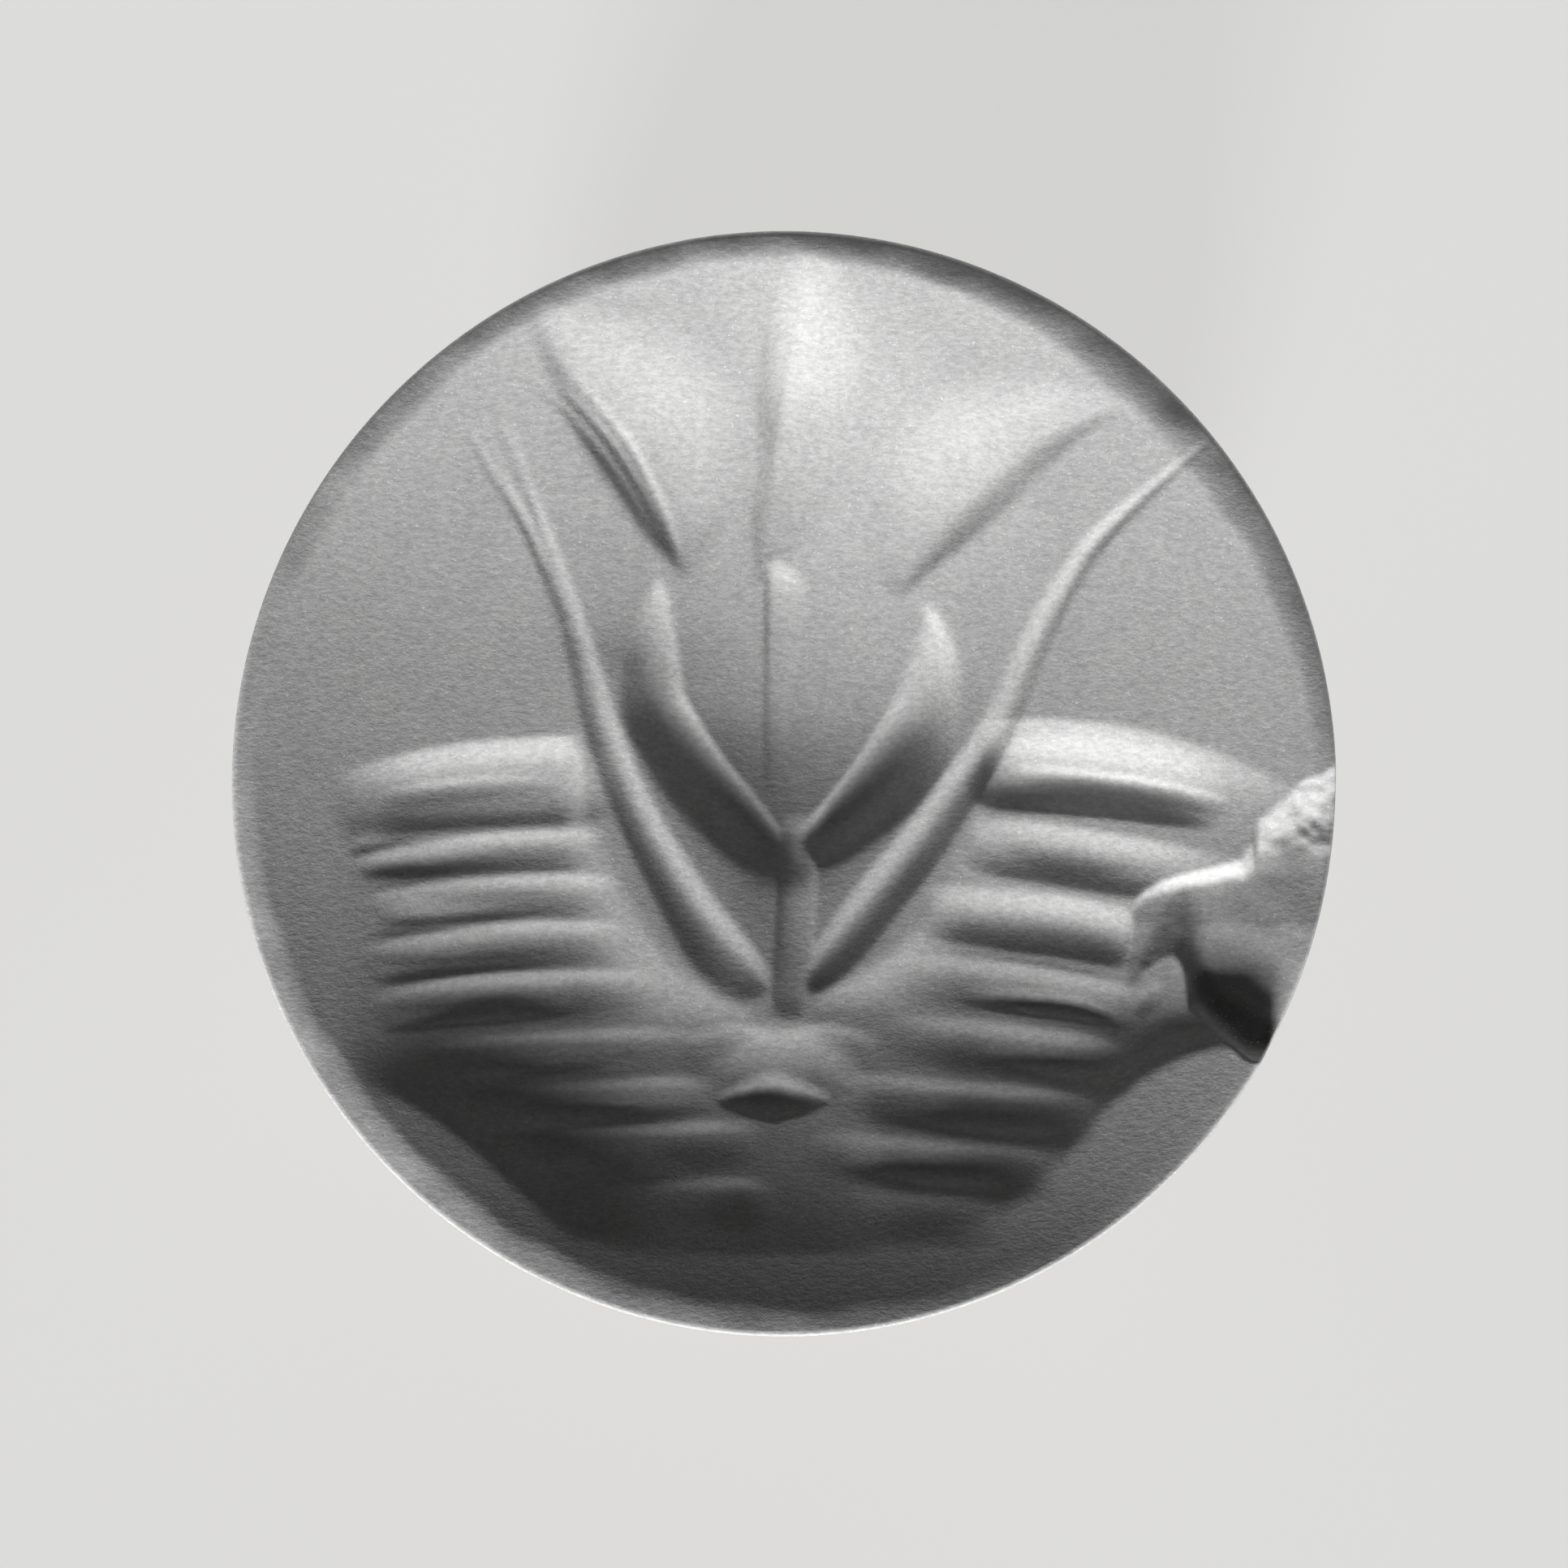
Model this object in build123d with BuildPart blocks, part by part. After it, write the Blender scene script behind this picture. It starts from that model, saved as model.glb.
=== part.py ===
from build123d import *

import os
from math import cos, radians, sin, sqrt

# Wax seal stamp: an engraved stone die in a brass head, which screws to a turned wooden handle.
# The stamp stands on its end cap with the engraved face up. The origin is the middle of the end
# cap's flat foot, +Z runs up the axis to the face, and +Y points to the top of the engraved design.
# Sizes are in millimetres.

# Seal die, a carved stone
face_diameter = 25.0
die_height = 7.0  # from its seat on the holder to the crown of the lip
die_overhang = 3.0  # how far the face stands out past the holder
die_flank_height = 3.2  # the rounded underside
lip_width = 0.8  # the gentle bevel round the dish
lip_drop = 0.3
dish_depth = 1.4  # the face is hollowed this far below the lip
tenon_length = 4.0
tenon_chamfer = 0.4
cement_thickness = 0.3  # the bed that holds the tenon in its pocket

# Tie rod, which clamps the handle together and carries the head
rod_diameter = 6.0
rod_reach = 6.5  # how far the rod stands up into the holder
rod_grip_in_cap = 5.0  # how far the rod screws into the end cap
rod_tip_chamfer = 0.6
thread_clearance = 0.05
passage_clearance = 0.3  # round the rod where it only passes through
bore_relief = 0.8  # space past the rod's end in a blind bore

# Die holder, turned brass
holder_rim_wall = 2.2  # round the die's pocket
holder_web = 2.4  # between the pocket and the threaded bore
holder_neck_wall = 2.1
holder_neck_height = 3.4  # where the cove under the grip band begins
holder_foot_diameter = 13.8
holder_foot_height = 1.8
holder_edge_chamfer = 0.4
grip_height = 4.4
flute_count = 45  # straight flutes of V section round the grip band
flute_depth = 0.4
flute_margin = 0.7  # plain rim above and below the flutes

# Slotted nut and plain washer, sunk into the ferrule
nut_wall = 2.0
nut_thickness = 2.4
nut_slot_width = 1.4
nut_slot_depth = 0.9
nut_washer_thickness = 0.6
recess_clearance = 0.2
recess_headroom = 0.2  # the nut lies this far under the ferrule's top

# Ferrule, turned brass
ferrule_land = 1.9  # the flat ring round the nut's recess
ferrule_web = 1.8  # the floor that the nut clamps
ferrule_wall = 1.1
ferrule_skirt_depth = 5.0  # how far the skirt comes down over the wood
ferrule_collar_width = 0.9  # how far the collar at its foot stands out
ferrule_collar_height = 1.2
ferrule_waist_depth = 0.35
ferrule_rim_height = 1.6
ferrule_edge_chamfer = 0.3

# Leather washer under the holder
washer_thickness = 0.8
washer_setback = 0.6  # in from the ferrule's edge

# Turned handle
handle_length = 42.0  # the wood that shows between the end cap and the ferrule
handle_foot_diameter = 17.0
handle_bulb_diameter = 22.0
handle_bulb_height = 14.0
handle_waist_diameter = 12.4
handle_waist_height = 34.0
handle_spigot_length = 2.0
handle_foot_shoulder = 1.5  # the ring of the foot that sits on the end cap
wood_clearance = 0.1
ring_width = 0.9  # the two rings cut round the bulb
ring_depth = 0.35
ring_spacing = 3.0

# End cap, turned brass
cap_foot_diameter = 16.4
cap_diameter = 20.0
cap_floor = 1.8
cap_collar_height = 1.4
cap_groove_depth = 0.6
cap_groove_height = 0.7

# Diameters that follow from the fits
die_foot_diameter = face_diameter - 2 * die_overhang
pocket_diameter = die_foot_diameter - 2 * holder_rim_wall
tenon_diameter = pocket_diameter - 2 * cement_thickness
thread_bore_diameter = rod_diameter + 2 * thread_clearance
passage_diameter = rod_diameter + 2 * passage_clearance
holder_neck_diameter = thread_bore_diameter + 2 * holder_neck_wall
nut_diameter = rod_diameter + 2 * nut_wall
recess_diameter = nut_diameter + 2 * recess_clearance
ferrule_diameter = recess_diameter + 2 * ferrule_land
skirt_bore_diameter = ferrule_diameter - 2 * ferrule_wall
washer_diameter = ferrule_diameter - 2 * washer_setback
handle_shoulder_diameter = ferrule_diameter + 2 * ferrule_collar_width
handle_tenon_diameter = skirt_bore_diameter - 2 * wood_clearance
handle_spigot_diameter = handle_foot_diameter - 2 * handle_foot_shoulder
spigot_pocket_diameter = handle_spigot_diameter + 2 * wood_clearance

# Levels up the axis
rod_bottom = cap_floor + bore_relief
spigot_floor = rod_bottom + rod_grip_in_cap
cap_top = spigot_floor + wood_clearance + handle_spigot_length
handle_top = cap_top + handle_length
ferrule_floor = handle_top + ferrule_skirt_depth
nut_washer_seat = ferrule_floor + ferrule_web
nut_seat = nut_washer_seat + nut_washer_thickness
nut_top = nut_seat + nut_thickness
ferrule_top = nut_top + recess_headroom
holder_bottom = ferrule_top + washer_thickness
rod_top = holder_bottom + rod_reach
thread_bore_end = rod_top + bore_relief
pocket_floor = thread_bore_end + holder_web
tenon_bottom = pocket_floor + cement_thickness
die_seat = tenon_bottom + tenon_length
lip_crown = die_seat + die_height

# The dish of the face is part of a ball that is centred on the axis above the stamp
lip_radius = face_diameter / 2 - lip_width
dish_radius = (lip_radius**2 + dish_depth**2) / (2 * dish_depth)
dish_centre = lip_crown - dish_depth + dish_radius

# The engraving was drawn for a face of this diameter, and grows with the face
drawn_diameter = 25.0
drawing_scale = face_diameter / drawn_diameter

# Outer petals: one long curved groove each, from the foot of the flower to its flared tip.
# Each point is x, y and the share of the full depth there.
outer_petal_width = 1.15
outer_petal_depth = 0.32
outer_petals = [
    [
        (-0.1, -4.7, 0.8),
        (-2.0, -2.8, 1.0),
        (-3.6, 0.0, 1.0),
        (-4.7, 3.3, 0.8),
        (-5.6, 6.2, 0.45),
        (-6.7, 8.8, -0.1),
    ],
    [
        (0.5, -4.5, 0.8),
        (2.3, -2.3, 1.0),
        (4.2, 0.5, 1.0),
        (5.8, 3.8, 0.8),
        (7.4, 6.0, 0.5),
        (9.3, 7.7, -0.1),
    ],
]

# Inner petals: the two deep grooves of the flower's cup
inner_petal_width = 1.35
inner_petal_depth = 0.5
inner_petals = [
    [
        (-0.1, -1.5, 0.9),
        (-1.6, 0.1, 1.0),
        (-2.6, 1.8, 0.9),
        (-3.0, 3.4, 0.6),
        (-2.8, 5.0, -0.1),
    ],
    [
        (0.7, -1.4, 0.9),
        (2.0, 0.3, 1.0),
        (3.1, 1.9, 0.9),
        (3.6, 3.2, 0.6),
        (3.6, 4.6, -0.1),
    ],
]

# Straight strokes, each cut by the V edge of a small wheel:
# x, y, length, width, depth, and the turn from +X in degrees
flower_strokes = [
    (0.3, -3.0, 4.8, 0.9, 0.32, 90.0),  # stem
    (-0.05, 3.0, 4.4, 0.8, 0.12, 90.0),  # stamen
    (-3.0, 7.4, 5.8, 1.9, 0.22, 116.0),  # left petal tip
    (0.4, 8.4, 5.8, 2.0, 0.16, 75.0),  # middle petal tip
    (4.7, 6.6, 5.8, 1.9, 0.22, 40.0),  # right petal tip
    (-0.1, -6.2, 4.8, 1.4, 0.2, 0.0),  # ground line
    (-0.3, -7.35, 2.6, 0.8, 0.36, 0.0),  # seed
]
left_ribs = [
    (-7.1, 0.0, 6.1, 1.9, 0.32, 5.0),
    (-6.7, -1.6, 5.5, 1.1, 0.27, 4.5),
    (-6.7, -2.7, 5.3, 1.1, 0.27, 4.0),
    (-6.6, -3.75, 5.1, 1.05, 0.27, 4.0),
    (-6.1, -4.85, 5.9, 1.05, 0.28, 4.0),
    (-5.1, -6.1, 5.6, 1.2, 0.25, 4.0),
    (-4.2, -7.3, 5.3, 1.05, 0.22, 3.0),
    (-3.5, -8.35, 4.9, 1.0, 0.18, 3.0),
]
right_ribs = [
    (7.8, 0.0, 6.0, 2.0, 0.33, -6.0),
    (6.8, -1.65, 5.1, 1.2, 0.28, -9.0),
    (5.9, -3.0, 4.6, 1.15, 0.27, -7.0),
    (5.7, -4.5, 5.3, 1.3, 0.26, -9.0),
    (5.7, -5.95, 4.9, 1.2, 0.24, -9.0),
    (4.2, -7.3, 5.4, 1.2, 0.22, -5.0),
    (3.3, -8.6, 4.9, 1.1, 0.2, -6.0),
]

# The basket below the flower is a shallow hollow under the ribs
basket_x = -0.3
basket_y = -6.4
basket_width = 14.6
basket_length = 7.6
basket_depth = 0.36

# The chip broken out of the lip: ball-shaped scars, each x, y, radius and depth below the face
chip_scars = [
    (11.5, -3.5, 4.6, 1.15),
    (12.3, -0.7, 2.4, 0.7),
    (10.2, -4.7, 2.1, 1.25),
]


def tool_radius(width, depth):
    """Radius of a round tool that leaves a groove of this width and depth in the dished face."""
    flat_radius = (width**2 / 4 + depth**2) / (2 * depth)
    return 1 / (1 / flat_radius + 1 / dish_radius)


def face_normal(x, y):
    """Outward direction of the dished face at x, y."""
    return Vector(-x, -y, sqrt(dish_radius**2 - x**2 - y**2)).normalized()


def face_point(x, y, height):
    """Point of the dished face at x, y, raised by a height along the face's own normal."""
    on_face = Vector(x, y, dish_centre - sqrt(dish_radius**2 - x**2 - y**2))
    return on_face + face_normal(x, y) * height


def basket_floor(x, y):
    """Depth of the basket's hollow below the dished face at x, y, as drawn."""
    across = (x - basket_x) / (basket_width / 2)
    along = (y - basket_y) / (basket_length / 2)
    return basket_depth * max(0.0, 1 - across**2 - along**2)


def cut_stroke(x, y, length, width, depth, turn):
    """Cuts a boat-shaped stroke, as a V-edged wheel leaves it when it is pressed into the face."""
    floor = drawing_scale * basket_floor(x, y)
    x, y, length, width, depth = (drawing_scale * size for size in (x, y, length, width, depth))
    wheel = tool_radius(length, depth)
    hub = face_point(x, y, wheel - depth - floor)
    normal = face_normal(x, y)
    along = Vector(cos(radians(turn)), sin(radians(turn)), 0)
    axle = normal.cross(along).normalized()
    with BuildSketch(Plane(hub, x_dir=axle, z_dir=along), mode=Mode.PRIVATE) as rim:
        with Locations((0, wheel)):
            Polygon((0, 0), (-width, -2 * depth), (width, -2 * depth), align=None)
    revolve(rim.sketch, Axis(hub, axle), mode=Mode.SUBTRACT)


def cut_petal(points, width, depth):
    """Cuts a curved groove with a round-nosed tool, which rises out of the face at the petal's tip."""
    edge = drawing_scale * tool_radius(width, depth)
    route = []
    for x, y, share in points:
        height = edge - drawing_scale * depth * share
        route.append(face_point(drawing_scale * x, drawing_scale * y, height))
    with BuildLine(mode=Mode.PRIVATE) as path:
        Spline(*route)
    with BuildSketch(Plane(path.line @ 0, z_dir=path.line % 0), mode=Mode.PRIVATE) as nose:
        Circle(edge)
    sweep(sections=nose.sketch, path=path.line, mode=Mode.SUBTRACT)
    with Locations(path.line @ 0):
        Sphere(edge, mode=Mode.SUBTRACT)


def cut_basket():
    """Cuts the shallow hollow of the basket with the round edge of a large wheel that rolls along X."""
    depth = drawing_scale * basket_depth
    wheel = tool_radius(drawing_scale * basket_width, depth)
    edge = tool_radius(drawing_scale * basket_length, depth)
    x = drawing_scale * basket_x
    y = drawing_scale * basket_y
    normal = face_normal(x, y)
    axle = normal.cross(Vector(1, 0, 0))
    with Locations(Plane(face_point(x, y, wheel - depth), x_dir=normal, z_dir=axle)):
        Torus(wheel - edge, edge, mode=Mode.SUBTRACT)


def cut_scar(x, y, radius, depth):
    """Cuts one ball-shaped scar of the chip."""
    x, y, radius, depth = (drawing_scale * size for size in (x, y, radius, depth))
    with Locations(face_point(x, y, radius - depth)):
        Sphere(radius, mode=Mode.SUBTRACT)


os.makedirs("parts", exist_ok=True)

# End cap: a round belly, a groove and a collar that meets the wood. Its foot is flat.
with BuildPart() as end_cap:
    groove_top = cap_top - cap_collar_height
    belly_top = groove_top - cap_groove_height
    collar_radius = handle_foot_diameter / 2
    with BuildSketch(Plane.XZ):
        with BuildLine():
            belly = ThreePointArc(
                (cap_foot_diameter / 2, 0),
                (cap_diameter / 2, belly_top / 2),
                (collar_radius, belly_top),
            )
            Polyline(
                belly @ 1,
                (collar_radius - cap_groove_depth, belly_top),
                (collar_radius - cap_groove_depth, groove_top),
                (collar_radius, groove_top),
                (collar_radius, cap_top),
                (spigot_pocket_diameter / 2, cap_top),
                (spigot_pocket_diameter / 2, spigot_floor),
                (thread_bore_diameter / 2, spigot_floor),
                (thread_bore_diameter / 2, cap_floor),
                (0, cap_floor),
                (0, 0),
                belly @ 0,
            )
        make_face()
    revolve(axis=Axis.Z)
end_cap.part.label = "end_cap"
export_step(end_cap.part, "parts/end_cap.step")

# Handle: a bulb for the palm, a waist for the fingers, a spigot and a tenon at its ends
with BuildPart() as handle:
    foot = (handle_foot_diameter / 2, cap_top)
    bulb = (handle_bulb_diameter / 2, cap_top + handle_bulb_height)
    waist = (handle_waist_diameter / 2, cap_top + handle_waist_height)
    turn_point = ((bulb[0] + waist[0]) / 2, (bulb[1] + waist[1]) / 2)
    shoulder = (handle_shoulder_diameter / 2, handle_top)
    with BuildSketch(Plane.XZ):
        with BuildLine():
            TangentArc(bulb, foot, tangent=(0, -1))
            TangentArc(bulb, turn_point, tangent=(0, 1))
            TangentArc(waist, turn_point, tangent=(0, -1))
            TangentArc(waist, shoulder, tangent=(0, 1))
            Polyline(
                shoulder,
                (handle_tenon_diameter / 2, handle_top),
                (handle_tenon_diameter / 2, ferrule_floor - wood_clearance),
                (passage_diameter / 2, ferrule_floor - wood_clearance),
                (passage_diameter / 2, cap_top - handle_spigot_length),
                (handle_spigot_diameter / 2, cap_top - handle_spigot_length),
                (handle_spigot_diameter / 2, cap_top),
                foot,
            )
        make_face()
    revolve(axis=Axis.Z)
    with BuildSketch(Plane.XZ):
        for side in (-1, 1):
            with Locations((bulb[0] - ring_depth, bulb[1] + side * ring_spacing / 2)):
                Polygon((0, 0), (ring_width, -ring_width), (ring_width, ring_width), align=None)
    revolve(axis=Axis.Z, mode=Mode.SUBTRACT)
handle.part.label = "handle"
export_step(handle.part, "parts/handle.step")

# Tie rod: screwed into the end cap, it runs up through the wood and stands out at the top
with BuildPart() as tie_rod:
    with Locations((0, 0, rod_bottom)):
        Cylinder(rod_diameter / 2, rod_top - rod_bottom, align=(Align.CENTER, Align.CENTER, Align.MIN))
    chamfer(tie_rod.edges().filter_by(GeomType.CIRCLE), rod_tip_chamfer)
tie_rod.part.label = "tie_rod"
export_step(tie_rod.part, "parts/tie_rod.step")

# Ferrule: a skirt over the wood's tenon, a floor for the nut to clamp, and a land for the washer
with BuildPart() as ferrule:
    sleeve_radius = ferrule_diameter / 2
    collar_radius = sleeve_radius + ferrule_collar_width
    collar_top = handle_top + ferrule_collar_height
    sleeve_bottom = collar_top + ferrule_collar_width
    rim_bottom = ferrule_top - ferrule_rim_height
    with BuildSketch(Plane.XZ):
        with BuildLine():
            waist_arc = ThreePointArc(
                (sleeve_radius, sleeve_bottom),
                (sleeve_radius - ferrule_waist_depth, (sleeve_bottom + rim_bottom) / 2),
                (sleeve_radius, rim_bottom),
            )
            Polyline(
                waist_arc @ 1,
                (sleeve_radius, ferrule_top - ferrule_edge_chamfer),
                (sleeve_radius - ferrule_edge_chamfer, ferrule_top),
                (recess_diameter / 2, ferrule_top),
                (recess_diameter / 2, nut_washer_seat),
                (passage_diameter / 2, nut_washer_seat),
                (passage_diameter / 2, ferrule_floor),
                (skirt_bore_diameter / 2, ferrule_floor),
                (skirt_bore_diameter / 2, handle_top),
                (collar_radius, handle_top),
                (collar_radius, collar_top),
                waist_arc @ 0,
            )
        make_face()
    revolve(axis=Axis.Z)
ferrule.part.label = "ferrule"
export_step(ferrule.part, "parts/ferrule.step")

# Plain washer under the nut
with BuildPart() as nut_washer:
    with BuildSketch(Plane.XY.offset(nut_washer_seat)):
        Circle(nut_diameter / 2)
        Circle(passage_diameter / 2, mode=Mode.SUBTRACT)
    extrude(amount=nut_washer_thickness)
nut_washer.part.label = "nut_washer"
export_step(nut_washer.part, "parts/nut_washer.step")

# Slotted nut, which draws the ferrule, the wood and the end cap together on the rod
with BuildPart() as ferrule_nut:
    with BuildSketch(Plane.XY.offset(nut_seat)):
        Circle(nut_diameter / 2)
        Circle(thread_bore_diameter / 2, mode=Mode.SUBTRACT)
    extrude(amount=nut_thickness)
    with BuildSketch(Plane.XY.offset(nut_top)):
        Rectangle(nut_diameter, nut_slot_width)
    extrude(amount=-nut_slot_depth, mode=Mode.SUBTRACT)
ferrule_nut.part.label = "ferrule_nut"
export_step(ferrule_nut.part, "parts/ferrule_nut.step")

# Leather washer that the head tightens against
with BuildPart() as leather_washer:
    with BuildSketch(Plane.XY.offset(ferrule_top)):
        Circle(washer_diameter / 2)
        Circle(passage_diameter / 2, mode=Mode.SUBTRACT)
    extrude(amount=washer_thickness)
leather_washer.part.label = "leather_washer"
export_step(leather_washer.part, "parts/leather_washer.step")

# Die holder: a foot ring, a narrow neck, a cove that opens out, and the fluted grip band
with BuildPart() as die_holder:
    grip_radius = die_foot_diameter / 2
    grip_bottom = die_seat - grip_height
    foot_radius = holder_foot_diameter / 2
    foot_top = holder_bottom + holder_foot_height
    neck_radius = holder_neck_diameter / 2
    with BuildSketch(Plane.XZ):
        with BuildLine():
            cove = TangentArc(
                (neck_radius, holder_bottom + holder_neck_height),
                (grip_radius - holder_edge_chamfer, grip_bottom - holder_edge_chamfer),
                tangent=(0, 1),
            )
            Polyline(
                cove @ 1,
                (grip_radius, grip_bottom),
                (grip_radius, die_seat),
                (pocket_diameter / 2, die_seat),
                (pocket_diameter / 2, pocket_floor),
                (0, pocket_floor),
                (0, thread_bore_end),
                (thread_bore_diameter / 2, thread_bore_end),
                (thread_bore_diameter / 2, holder_bottom),
                (foot_radius - holder_edge_chamfer, holder_bottom),
                (foot_radius, holder_bottom + holder_edge_chamfer),
                (foot_radius, foot_top - holder_edge_chamfer),
                (foot_radius - holder_edge_chamfer, foot_top),
                (neck_radius, foot_top),
                cove @ 0,
            )
        make_face()
    revolve(axis=Axis.Z)
    flute_mouth = 2 * flute_depth
    with BuildSketch(Plane.XY.offset(grip_bottom + flute_margin)):
        with PolarLocations(grip_radius - flute_depth, flute_count):
            Polygon((0, 0), (flute_mouth, -flute_mouth), (flute_mouth, flute_mouth), align=None)
    extrude(amount=grip_height - 2 * flute_margin, mode=Mode.SUBTRACT)
die_holder.part.label = "die_holder"
export_step(die_holder.part, "parts/die_holder.step")

# Cement: a thin cup that fills the pocket round and under the die's tenon
with BuildPart() as setting_cement:
    with BuildSketch(Plane.XZ):
        with BuildLine():
            Polyline(
                (0, pocket_floor),
                (pocket_diameter / 2, pocket_floor),
                (pocket_diameter / 2, die_seat),
                (tenon_diameter / 2, die_seat),
                (tenon_diameter / 2, tenon_bottom + tenon_chamfer),
                (tenon_diameter / 2 - tenon_chamfer, tenon_bottom),
                (0, tenon_bottom),
                close=True,
            )
        make_face()
    revolve(axis=Axis.Z)
setting_cement.part.label = "setting_cement"
export_step(setting_cement.part, "parts/setting_cement.step")

# Seal die: a stone button on a tenon, with a dished face inside a bevelled lip, and an old chip
with BuildPart() as seal_die:
    face_radius = face_diameter / 2
    with BuildSketch(Plane.XZ):
        with BuildLine():
            dish = RadiusArc((0, lip_crown - dish_depth), (lip_radius, lip_crown), -dish_radius)
            band = Polyline(
                dish @ 1,
                (face_radius, lip_crown - lip_drop),
                (face_radius, die_seat + die_flank_height),
            )
            flank = TangentArc(band @ 1, (die_foot_diameter / 2, die_seat), tangent=(0, -1))
            Polyline(
                flank @ 1,
                (tenon_diameter / 2, die_seat),
                (tenon_diameter / 2, tenon_bottom + tenon_chamfer),
                (tenon_diameter / 2 - tenon_chamfer, tenon_bottom),
                (0, tenon_bottom),
                dish @ 0,
            )
        make_face()
    revolve(axis=Axis.Z)
    cut_basket()
    for stroke in flower_strokes + left_ribs + right_ribs:
        cut_stroke(*stroke)
    for petal in outer_petals:
        cut_petal(petal, outer_petal_width, outer_petal_depth)
    for petal in inner_petals:
        cut_petal(petal, inner_petal_width, inner_petal_depth)
    for scar in chip_scars:
        cut_scar(*scar)
seal_die.part.label = "seal_die"
export_step(seal_die.part, "parts/seal_die.step")
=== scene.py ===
# %% [markdown]
# # A wax seal stamp with an engraved stone face
# The stamp is a small hand tool. A stone die sits in a brass holder, and the holder screws
# onto a turned wooden handle. The solids are already built, so this lesson only
# dresses them: it loads them as a fixed frame, and makes a finer piece for each one that shows.
# All sizes here are in millimetres, and become metres when a mesh is made.

import math

import bpy
import numpy as np
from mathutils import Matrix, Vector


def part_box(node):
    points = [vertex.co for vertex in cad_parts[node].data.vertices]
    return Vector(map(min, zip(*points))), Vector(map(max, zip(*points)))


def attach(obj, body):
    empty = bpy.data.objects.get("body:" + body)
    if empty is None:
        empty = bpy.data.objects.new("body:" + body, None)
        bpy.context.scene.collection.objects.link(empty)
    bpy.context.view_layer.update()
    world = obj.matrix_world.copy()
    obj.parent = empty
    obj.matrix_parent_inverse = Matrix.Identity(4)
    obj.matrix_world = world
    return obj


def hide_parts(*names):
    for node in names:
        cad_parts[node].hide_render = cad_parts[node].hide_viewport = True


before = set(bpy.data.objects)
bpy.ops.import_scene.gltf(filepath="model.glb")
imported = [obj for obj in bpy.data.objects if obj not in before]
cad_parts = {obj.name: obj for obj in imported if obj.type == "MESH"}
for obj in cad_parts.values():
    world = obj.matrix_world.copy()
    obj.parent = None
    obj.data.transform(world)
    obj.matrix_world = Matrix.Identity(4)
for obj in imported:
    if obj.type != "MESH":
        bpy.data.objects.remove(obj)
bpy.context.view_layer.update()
scene = bpy.context.scene
mm = 0.001

# %% [markdown]
# Every piece takes its place from the solid that it stands for. The stamp is round, so three
# measures say nearly everything about a solid: where it begins on the axis, where it ends,
# and how far it reaches out.

# %% Measures of the solids


def bottom(node):
    """Lowest level of a solid."""
    return round(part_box(node)[0].z / mm, 3)


def top(node):
    """Highest level of a solid."""
    return round(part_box(node)[1].z / mm, 3)


def reach(node):
    """Largest distance of a solid from the axis."""
    return round(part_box(node)[1].x / mm, 2)


for node in sorted(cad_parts):
    print(node, "from", bottom(node), "to", top(node), "radius", reach(node))

# %% [markdown]
# ## The camera
# The face is seen square on, from straight above, and fills seven tenths of the picture.
# A long lens far away would flatten everything, and a short one would show the handle beside
# the face. At 300 mm the disc covers the handle, as it does when the stamp is held up to the eye.

# %% Camera above the face
face_share = 0.7055
camera_height = 300.0
face_width = 2 * reach("seal_die")

camera = bpy.data.objects.new("camera", bpy.data.cameras.new("camera"))
camera.data.lens = camera.data.sensor_width * camera_height * face_share / face_width
camera.location = (0, 0, (top("seal_die") + camera_height) * mm)
camera.data.clip_start = 0.01
camera.data.clip_end = 20
scene.collection.objects.link(camera)
scene.camera = camera
scene.view_settings.view_transform = "Standard"
print("lens", round(camera.data.lens), "mm")

# %% [markdown]
# ## Light
# An engraver looks at a cut with one lamp held low. Light that skims the face leaves one wall
# of each cut bright and the other dark, and that is what shows the design. So the main lamp is
# a sun that stands only a little above the horizon, below the foot of the design. It is as wide
# as a window, which keeps the shadows soft.

# %% Raking main lamp
lamp_azimuth = math.radians(256)
lamp_elevation = math.radians(14.5)
lamp_width = math.radians(17)
lamp_strength = 4.6


def aim(thing, azimuth, elevation):
    """Points a lamp at the stamp from a compass direction and a height above the horizon."""
    thing.rotation_euler = (math.pi / 2 - elevation, 0, azimuth + math.pi / 2)


rake = bpy.data.objects.new("rake", bpy.data.lights.new("rake", "SUN"))
rake.data.energy = lamp_strength
rake.data.angle = lamp_width
aim(rake, lamp_azimuth, lamp_elevation)
scene.collection.objects.link(rake)
print("main lamp", round(math.degrees(lamp_elevation), 1), "degrees above the horizon")

# %% [markdown]
# The handle needs light on its other sides too, but nothing more may fall on the face.
# Wide, low panels do both: they stand lower than the face, so they shine on the turned sides
# of the stamp and can't look down into the cuts. Their spread is narrow, so that little of
# their light falls on the floor, and no bright pool shows there.

# %% Low panels round the handle
panel_distance = 420.0
panel_size = (380.0, 40.0)
panel_level = 52.0
panel_spread = math.radians(44)
panel_power = {"right": (-20, 0.08), "back": (75, 0.07), "left": (165, 0.07)}

for name, (azimuth, power) in panel_power.items():
    panel = bpy.data.objects.new(f"panel_{name}", bpy.data.lights.new(f"panel_{name}", "AREA"))
    panel.data.shape = "RECTANGLE"
    panel.data.size = panel_size[0] * mm
    panel.data.size_y = panel_size[1] * mm
    panel.data.spread = panel_spread
    panel.data.energy = power
    turn_to = math.radians(azimuth)
    panel.location = (
        panel_distance * math.cos(turn_to) * mm,
        panel_distance * math.sin(turn_to) * mm,
        panel_level * mm,
    )
    aim(panel, turn_to, 0.0)
    panel.visible_camera = False
    scene.collection.objects.link(panel)
print(len(panel_power), "panels")

# %% [markdown]
# ## Nodes for the finishes
# A finish is a small net of nodes. A few helpers keep the cells short: they add a node and set
# or link its sockets by name, start a material with its main shader, mix two colours, and
# make the noise and the bumps that every finish here is built from.

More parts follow.
